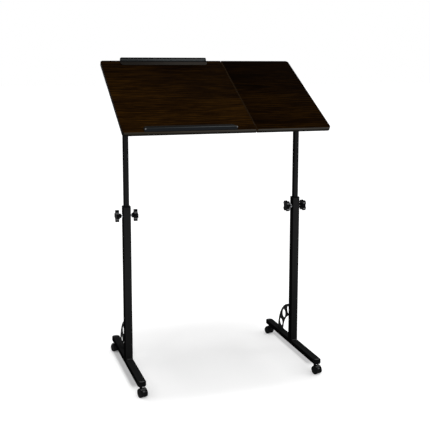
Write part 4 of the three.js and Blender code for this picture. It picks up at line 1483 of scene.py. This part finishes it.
@dataclass
class ClampKnobs:
    """The clamp knobs on both sides of each column, with their studs and threaded inserts."""

    height: float = 0.6293
    reach: float = 0.042
    thickness: float = 0.013
    stud: float = 0.004
    stud_end: float = 0.0103
    stud_round: float = 0.0008
    stud_stop: float = 0.006
    thread_depth: float = 0.0005
    thread_round: float = 0.00045
    thread_start: float = 0.0012
    thread_tail: float = 0.001
    pitch: float = 0.00125
    column_half: float = 0.015
    insert_radius: float = 0.00675
    insert_flange: float = 0.0012
    insert_round: float = 0.0006
    mouth_border: float = 0.0022
    mouth_depth: float = 0.0006
    lit_band: Pair = (0.009, 0.0148)
    lit_facing: float = -0.3
    rim_facing: float = 0.9

    def build(self) -> None:
        """Makes the knobs once for each leg and copies them to their places."""
        for side, turn in ((Side.LEFT, 0.0), (Side.RIGHT, math.pi / 4)):
            knob = LobedKnob(
                "clamp_knob_pattern",
                diameter=0.046,
                thickness=self.thickness,
                hub_diameter=0.018,
                hub_length=0.008,
                head=self.reach - self.thickness,
                cutter=0.012,
                cutter_place=0.0275,
                rim=0.0026,
                turn=turn,
            ).build()
            # Painted highlight on the front of the lobes, between hub and tip.
            knob.dress(KNOB_PLASTIC).dress(
                KNOB_PAINTED_HIGHLIGHT,
                lambda place, normal: abs(normal.x) < self.rim_facing
                and normal.y < self.lit_facing
                and self.lit_band[0] < abs(place.z) < self.lit_band[1],
            )
            stud = self.threaded_stud().dress(ZINC)
            insert = self.insert().dress(ZINC)
            stand = Matrix.Translation((side.x, LINE, self.height))
            for place, move in ((Side.LEFT, stand @ Axis.X.mirror), (Side.RIGHT, stand)):
                node = f"{side.word}_clamp_knob_{place.word}"
                knob.copy(node + "_grip", move).fit(node, "black_plastic", node)
                stud.copy(node + "_stud", move).fit(node, "zinc_steel")
                name = f"{side.word}_{place.word}_threaded_insert"
                insert.copy(name, move).fit(side.word + "_leg", "zinc_steel")
            discard(knob, stud, insert)

    def threaded_stud(self) -> Workpiece:
        """The stud between knob and column, its thread as a row of rings.

        Returns:
            The stud.
        """
        start, end = self.stud_end, self.reach - self.thickness - self.stud_stop
        stud = Workpiece.bar("stud", Axis.X, start, end, self.stud - self.thread_depth, sides=32)
        stud.bevel(past(Axis.X, start, -1), self.stud_round, segments=2)
        bpy.ops.mesh.primitive_torus_add(
            major_segments=32,
            minor_segments=6,
            major_radius=self.stud - self.thread_round,
            minor_radius=self.thread_round,
            location=(start + self.thread_start, 0, 0),
            rotation=Axis.X.turn,
        )
        ring = Workpiece("thread")
        count = int((end - start - self.thread_tail) / self.pitch)
        moves = (Matrix.Translation((self.pitch * number, 0, 0)) for number in range(1, count))
        return stud.join(ring, *[ring.copy("thread", move) for move in moves])

    def insert(self) -> Workpiece:
        """The flange of the threaded insert in the column's wall.

        Returns:
            The insert.
        """
        start, end = self.column_half, self.column_half + self.insert_flange
        flange = Workpiece.bar("insert", Axis.X, start, end, self.insert_radius)
        flange.bevel(past(Axis.X, end), self.insert_round)
        return flange.inset(facing(Axis.X), self.mouth_border, -self.mouth_depth)


@dataclass
class TiltPivots:
    """The brackets under the boards with their knobs, bolts and screws."""

    boards: Boards
    screw_across: float = 0.022
    screw_along: float = 0.038
    screw_top: float = 0.0172
    screw_height: float = 0.0023
    screw_radius: float = 0.0042
    screw_round: float = 0.0014
    recess: Pair = (0.0022, 0.0005)
    recess_depth: float = 0.0012
    stud: Triple = (-0.0265, 0.0255, 0.004)
    stud_round: float = 0.0008
    bracket_edge: float = 0.0004
    bolt_edge: float = 0.0003
    knob_places: tuple[tuple[str, float], ...] = (("large_panel", -0.2805), ("small_panel", 0.3255))
    bracket_places: tuple[tuple[str, float], ...] = (
        ("large_panel_left", -0.2805),
        ("large_panel_right", -0.0205),
        ("small_panel_left", 0.1755),
        ("small_panel_right", 0.3255),
    )

    def build(self) -> None:
        """Dresses the brackets' solids and makes the knobs and screws."""
        knob = LobedKnob(
            "tilt_knob_pattern",
            diameter=0.029,
            thickness=0.013,
            hub_diameter=0.014,
            hub_length=0.006,
            head=0.0243,
            cutter=0.0075,
            cutter_place=0.018,
            rim=0.002,
        ).build()
        knob.dress(KNOB_PLASTIC)
        stud = Workpiece.bar("stud", Axis.X, *self.stud, sides=32).dress(ZINC)
        stud.bevel(past(Axis.X, self.stud[0], -1), self.stud_round, segments=2)
        for body, x in self.knob_places:
            move = Matrix.Translation((x, LINE, self.boards.pivot))
            node = body + "_tilt_knob"
            knob.copy(node + "_grip", move).fit(node, "black_plastic", node)
            stud.copy(node + "_stud", move).fit(node, "zinc_steel")
            dress_solid(body + "_pivot_bolt", ZINC, self.bolt_edge)
        screw = self.screw()
        for name, x in self.bracket_places:
            heads = []
            for across, along_y in ((-1, -1), (-1, 1), (1, -1), (1, 1)):
                spot = (x + across * self.screw_across, along_y * self.screw_along, 0)
                move = self.boards.raised @ Matrix.Translation(spot)
                heads.append(screw.copy(name + "_plate_screws", move))
            heads[0].join(*heads[1:]).fit(name.rpartition("_")[0], "zinc_steel")
            for piece in ("_saddle", "_mount_plate"):
                dress_solid(name + piece, POWDER, self.bracket_edge)
        discard(knob, stud, screw)

    def screw(self) -> Workpiece:
        """A pan-head screw with a cross recess, its head down.

        Returns:
            The screw.
        """
        low = self.screw_top - self.screw_height
        head = Workpiece.bar("screw", Axis.Z, low, self.screw_top, self.screw_radius, sides=32)
        head.bevel(past(Axis.Z, low, -1), self.screw_round, segments=4)
        span = (low - CUT_OVERRUN, low + self.recess_depth)
        for half in (self.recess, self.recess[::-1]):
            head.cut(Workpiece.post("recess", Axis.Z, *span, half))
        return head.dress(ZINC)


@dataclass
class Castors:
    """The four swivelling twin-wheel castors."""

    spread: float = 0.469
    trail: float = 0.011
    rest: float = math.radians(18)
    wheel_radius: float = 0.0155
    wheel_width: float = 0.0093
    wheel_inner: float = 0.0049
    tread_round: float = 0.0014
    inner_round: float = 0.001
    rings: tuple[Pair, ...] = ((0.002, 0), (0.0008, -0.0010), (0.0060, 0), (0.0005, 0.0008))
    web: float = 0.0045
    web_radius: float = 0.0145
    cover: float = 0.0124
    cover_inner: float = 0.0165
    cover_outer: float = 0.0183
    bridge_outer: float = 0.0181
    cover_start: float = math.radians(-10)
    cover_end: float = math.radians(125)
    hood_round: float = 0.0005
    room_half: float = 0.03
    boss: float = 0.0055
    boss_bottom: float = 0.0245
    boss_top: float = 0.0342
    boss_round: float = 0.0008
    neck: float = 0.0045
    neck_top: float = 0.0437
    neck_round: float = 0.0005
    pin: float = 0.003
    pin_bottom: float = 0.023
    pin_round: float = 0.0006
    thread: float = 0.004
    thread_top: float = 0.0557
    thread_round: float = 0.0007
    overlap: float = 0.001
    sheen_level: float = 0.022
    sheen_front: float = -0.17
    sheen_up: float = 0.4

    @property
    def axle(self) -> Pair:
        """The axle's place along Y and Z."""
        return (-self.trail, self.wheel_radius)

    def build(self) -> None:
        """Makes hood, wheel and stem once and copies them under the feet."""
        hood = self.hood().dress(WHEEL_PLASTIC)
        # Painted highlight on the hood's front-top faces.
        hood.dress(
            HOOD_PAINTED_HIGHLIGHT,
            lambda place, normal: normal.y < self.sheen_front
            and normal.z > self.sheen_up
            and place.z > self.sheen_level,
        )
        wheel = self.wheel().dress(WHEEL_PLASTIC)
        stem = self.stem().dress(DARK_ZINC)
        for side in Side:
            for end in End:
                castor = f"{side.word}_{end.word}_castor"
                turn = self.rest + (math.pi if end is End.REAR else 0)
                spot = (side.x, end.value * self.spread / 2, 0)
                stand = Matrix.Translation(spot) @ Matrix.Rotation(turn, 4, "Z")
                hood.copy(castor + "_fork", stand).fit(castor, "black_plastic", castor + "_hood")
                for letter, move in (("a", stand @ Axis.X.mirror), ("b", stand)):
                    node = f"{castor}_wheel_{letter}"
                    wheel.copy(node + "_tread", move).fit(node, "castor_wheel", node)
                pin = stem.copy(castor + "_pin", stand)
                pin.fit(side.word + "_leg", "zinc_steel", castor + "_stem")
                dress_solid(castor + "_axle", ZINC)
        discard(hood, wheel, stem)

    def sector(self, name: str, radius: float, half: float) -> Workpiece:
        """The part of a disc round the axle that the cover spans.

        Args:
            name: The piece's name.
            radius: The disc's radius.
            half: Half its width.

        Returns:
            The sector.
        """
        disc = Workpiece.bar(name, Axis.X, -half, half, radius, self.axle, sides=96)
        axle = Vector((0, *self.axle))
        first, last = self.cover_start, self.cover_end
        disc.halve(axle, Vector((0, math.sin(first), -math.cos(first))))
        return disc.halve(axle, Vector((0, -math.sin(last), math.cos(last))))

    def room(self) -> Workpiece:
        """The round room for the wheels under the cover."""
        span = (-self.room_half, self.room_half)
        return Workpiece.bar("room", Axis.X, *span, self.cover_inner, self.axle, sides=96)

    def hood(self) -> Workpiece:
        """The castor's moulded fork: web, cover and boss.

        Returns:
            The fork.
        """
        roof = self.sector("hood", self.cover_outer, self.cover).cut(self.room())
        boss = Workpiece.bar("boss", Axis.Z, self.boss_bottom, self.boss_top, self.boss)
        boss.bevel(past(Axis.Z, self.boss_top), self.boss_round).cut(self.room())
        bridge = self.sector("bridge", self.bridge_outer, self.web)
        span = (-self.web, self.web)
        disc = Workpiece.bar("disc", Axis.X, *span, self.web_radius, self.axle, sides=64)
        return roof.fuse(boss, bridge, disc).round_edges(self.hood_round, segments=3, angle=32)

    def wheel(self) -> Workpiece:
        """The wheel on the web's right, its outer face dished round a small hub.

        Returns:
            The wheel.
        """
        inner, outer = self.wheel_inner, self.wheel_inner + self.wheel_width
        wheel = Workpiece.bar("wheel", Axis.X, inner, outer, self.wheel_radius, self.axle, sides=64)
        wheel.bevel(past(Axis.X, outer), self.tread_round, segments=5)
        wheel.bevel(past(Axis.X, inner, -1), self.inner_round, segments=2)
        axle = Vector(self.axle)
        for border, rise in self.rings:
            wheel.inset(
                lambda place, normal: normal.x > STRAIGHT and (place.yz - axle).length < HAIR,
                border,
                rise,
            )
        return wheel

    def stem(self) -> Workpiece:
        """The pin, neck and thread between hood and foot.

        Returns:
            The stem.
        """
        low, top = self.boss_top + SEAT_GAP, self.neck_top
        neck = Workpiece.bar("stem", Axis.Z, low, top, self.neck, sides=40)
        neck.bevel(square_to(Axis.Z), self.neck_round, segments=2)
        pin = Workpiece.bar("pin", Axis.Z, self.pin_bottom, low + self.overlap, self.pin, sides=24)
        pin.bevel(past(Axis.Z, self.pin_bottom, -1), self.pin_round, segments=2)
        span = (top - self.overlap, self.thread_top)
        thread = Workpiece.bar("thread", Axis.Z, *span, self.thread, sides=24)
        thread.bevel(past(Axis.Z, self.thread_top), self.thread_round, segments=2)
        return neck.fuse(pin, thread)


@dataclass(frozen=True)
class StudioFloor(Finish):
    """White floor; its glow drops in a painted shadow between the feet and painted strips under
    them.
    """

    glow: float = 0.30
    between_feet: Ramp = (0.33, 0.37, 1, 0)
    shadow_front: Ramp = (-0.45, -0.25, 0, 1)
    shadow_back: Ramp = (0.36, 0.75, 1, 0)
    depth_light: Ramp = (0, 0.25, 0.03, 0.19)
    side_light: Ramp = (0.12, 0.38, 0, 1)
    side_front: Ramp = (-0.28, -0.05, 0.4, 1)
    side_back: Ramp = (0.10, 0.30, 1, 0.25)
    side_share: float = 0.7
    strip_place: float = 0.361
    strip_shift: float = 0.011
    strip_edge: Ramp = (0.006, 0.026, 1, 0)
    strip_front: Ramp = (-0.18, -0.12, 0, 1)
    strip_back: Ramp = (0.26, 0.32, 1, 0)
    strip_share: float = 0.35
    strip_dark: float = 0.85

    def make(self) -> bpy.types.Material:
        """Builds the white glow, cut back in a painted shadow and in painted strips under the feet.
        """
        bench = NodeBench("studio_floor")
        point = bench.place()
        across, depth = point.part(Axis.X), point.part(Axis.Y)
        # Painted shadow: the glow drops between the feet, so the real shadow shows there.
        painted_shadow = abs(across).ramp(*self.between_feet)
        painted_shadow = painted_shadow * depth.ramp(*self.shadow_front) * depth.ramp(*self.shadow_back)
        # Painted light: inside that shadow the glow is cut less towards the back and near the feet,
        # hiding their real shade.
        beside = depth.ramp(*self.side_front) * depth.ramp(*self.side_back)
        beside = abs(across).ramp(*self.side_light) * beside * self.side_share
        inner = depth.ramp(*self.depth_light) + beside
        # Painted shadow strips: darker colour and less glow just under the foot bars.
        painted_strip = abs(abs(across - self.strip_shift) - self.strip_place).ramp(*self.strip_edge)
        painted_strip = painted_strip * (depth.ramp(*self.strip_front) * depth.ramp(*self.strip_back))
        return bench.done(
            Base_Color=1 - painted_strip * self.strip_share,
            Roughness=1.0,
            Specular_IOR_Level=0.0,
            Emission_Color=(1 - painted_shadow * (1 - inner)) * (1 - painted_strip * self.strip_dark),
            Emission_Strength=self.glow,
        )


@dataclass
class Softbox:
    """A square lamp: where it hangs, what it points at, its side and its power in watts."""

    name: str
    place: Triple
    aim: Triple
    size: float
    power: float

    def build(self) -> None:
        """Hangs the lamp."""
        bpy.ops.object.light_add(type="AREA", location=self.place)
        lamp = bpy.context.object
        lamp.name = self.name
        lamp.data.shape = "SQUARE"
        lamp.data.size = self.size
        lamp.data.energy = self.power
        way = Vector(self.aim) - Vector(self.place)
        lamp.rotation_euler = way.to_track_quat("-Z", "Y").to_euler()


@dataclass
class Studio:
    """Camera, lamps, white surroundings and floor."""

    camera_place: Triple = (-0.93625, -2.95012, 1.22758)
    yaw: float = math.radians(18.798)
    pitch: float = math.radians(-8.222)
    roll: float = math.radians(0.234)
    lens: float = 66.555
    shift: Pair = (-0.03256, -0.100)
    sensor: float = 36.0
    clip: Pair = (0.05, 100)
    ambient: float = 0.88
    floor_size: float = 60
    lamps: tuple[Softbox, ...] = (
        Softbox("overhead", (0.0, -0.3, 3.4), (0.0, 0.0, 0.0), 1.6, 14),
        Softbox("front_left", (-2.3, -2.4, 2.3), (0.0, 0.0, 0.8), 0.5, 6),
        Softbox("right", (2.6, -1.0, 1.6), (0.0, 0.0, 0.7), 0.5, 5),
    )

    def build(self) -> None:
        """Sets up everything round the desk."""
        self.camera()
        self.surroundings()
        for lamp in self.lamps:
            lamp.build()
        bpy.ops.mesh.primitive_plane_add(size=self.floor_size)
        Workpiece("floor").dress(StudioFloor()).obj
        bpy.context.scene.view_settings.view_transform = "Standard"

    def camera(self) -> None:
        """Places the camera by its measured angles."""
        flat = Vector((math.sin(self.yaw), math.cos(self.yaw), 0))
        ahead = flat * math.cos(self.pitch) + Vector((0, 0, math.sin(self.pitch)))
        level = Vector((math.cos(self.yaw), -math.sin(self.yaw), 0))
        up = level.cross(ahead)
        right = math.cos(self.roll) * level + math.sin(self.roll) * up
        up = math.cos(self.roll) * up - math.sin(self.roll) * level
        bpy.ops.object.camera_add()
        camera = bpy.context.object
        camera.name = "camera"
        turn = Matrix((right, up, -ahead)).transposed().to_4x4()
        camera.matrix_world = Matrix.Translation(self.camera_place) @ turn
        camera.data.sensor_width = self.sensor
        camera.data.lens = self.lens
        camera.data.shift_x, camera.data.shift_y = self.shift
        camera.data.clip_start, camera.data.clip_end = self.clip
        bpy.context.scene.camera = camera

    def surroundings(self) -> None:
        """A plain world, white to the camera and to shiny surfaces, and a little less as light."""
        world = bpy.data.worlds.new("studio_world")
        bpy.context.scene.world = world
        world.use_nodes = True
        nodes, link = world.node_tree.nodes, world.node_tree.links.new
        seen, light = nodes["Background"], nodes.new("ShaderNodeBackground")
        for shade, strength in ((seen, 1), (light, self.ambient)):
            shade.inputs["Color"].default_value = (1, 1, 1, 1)
            shade.inputs["Strength"].default_value = strength
        path = nodes.new("ShaderNodeLightPath")
        total = path.outputs["Is Camera Ray"]
        for name in ("Is Glossy Ray", "Is Transmission Ray"):
            adder = nodes.new("ShaderNodeMath")
            adder.operation = "MAXIMUM"
            link(total, adder.inputs[0])
            link(path.outputs[name], adder.inputs[1])
            total = adder.outputs[0]
        blend = nodes.new("ShaderNodeMixShader")
        for number, output in enumerate((total, light.outputs[0], seen.outputs[0])):
            link(output, blend.inputs[number])
        link(blend.outputs[0], nodes["World Output"].inputs["Surface"])


def main() -> None:
    """Builds the desk and its studio."""
    logging.basicConfig(level=logging.INFO, format="%(name)s: %(message)s")
    boards = Boards()
    Studio().build()
    boards.build()
    Crossbar().build()
    for side in Side:
        Leg(side).build()
    ClampKnobs().build()
    TiltPivots(boards).build()
    Castors().build()
    bpy.ops.object.select_all(action="DESELECT")


if __name__ == "__main__":
    main()
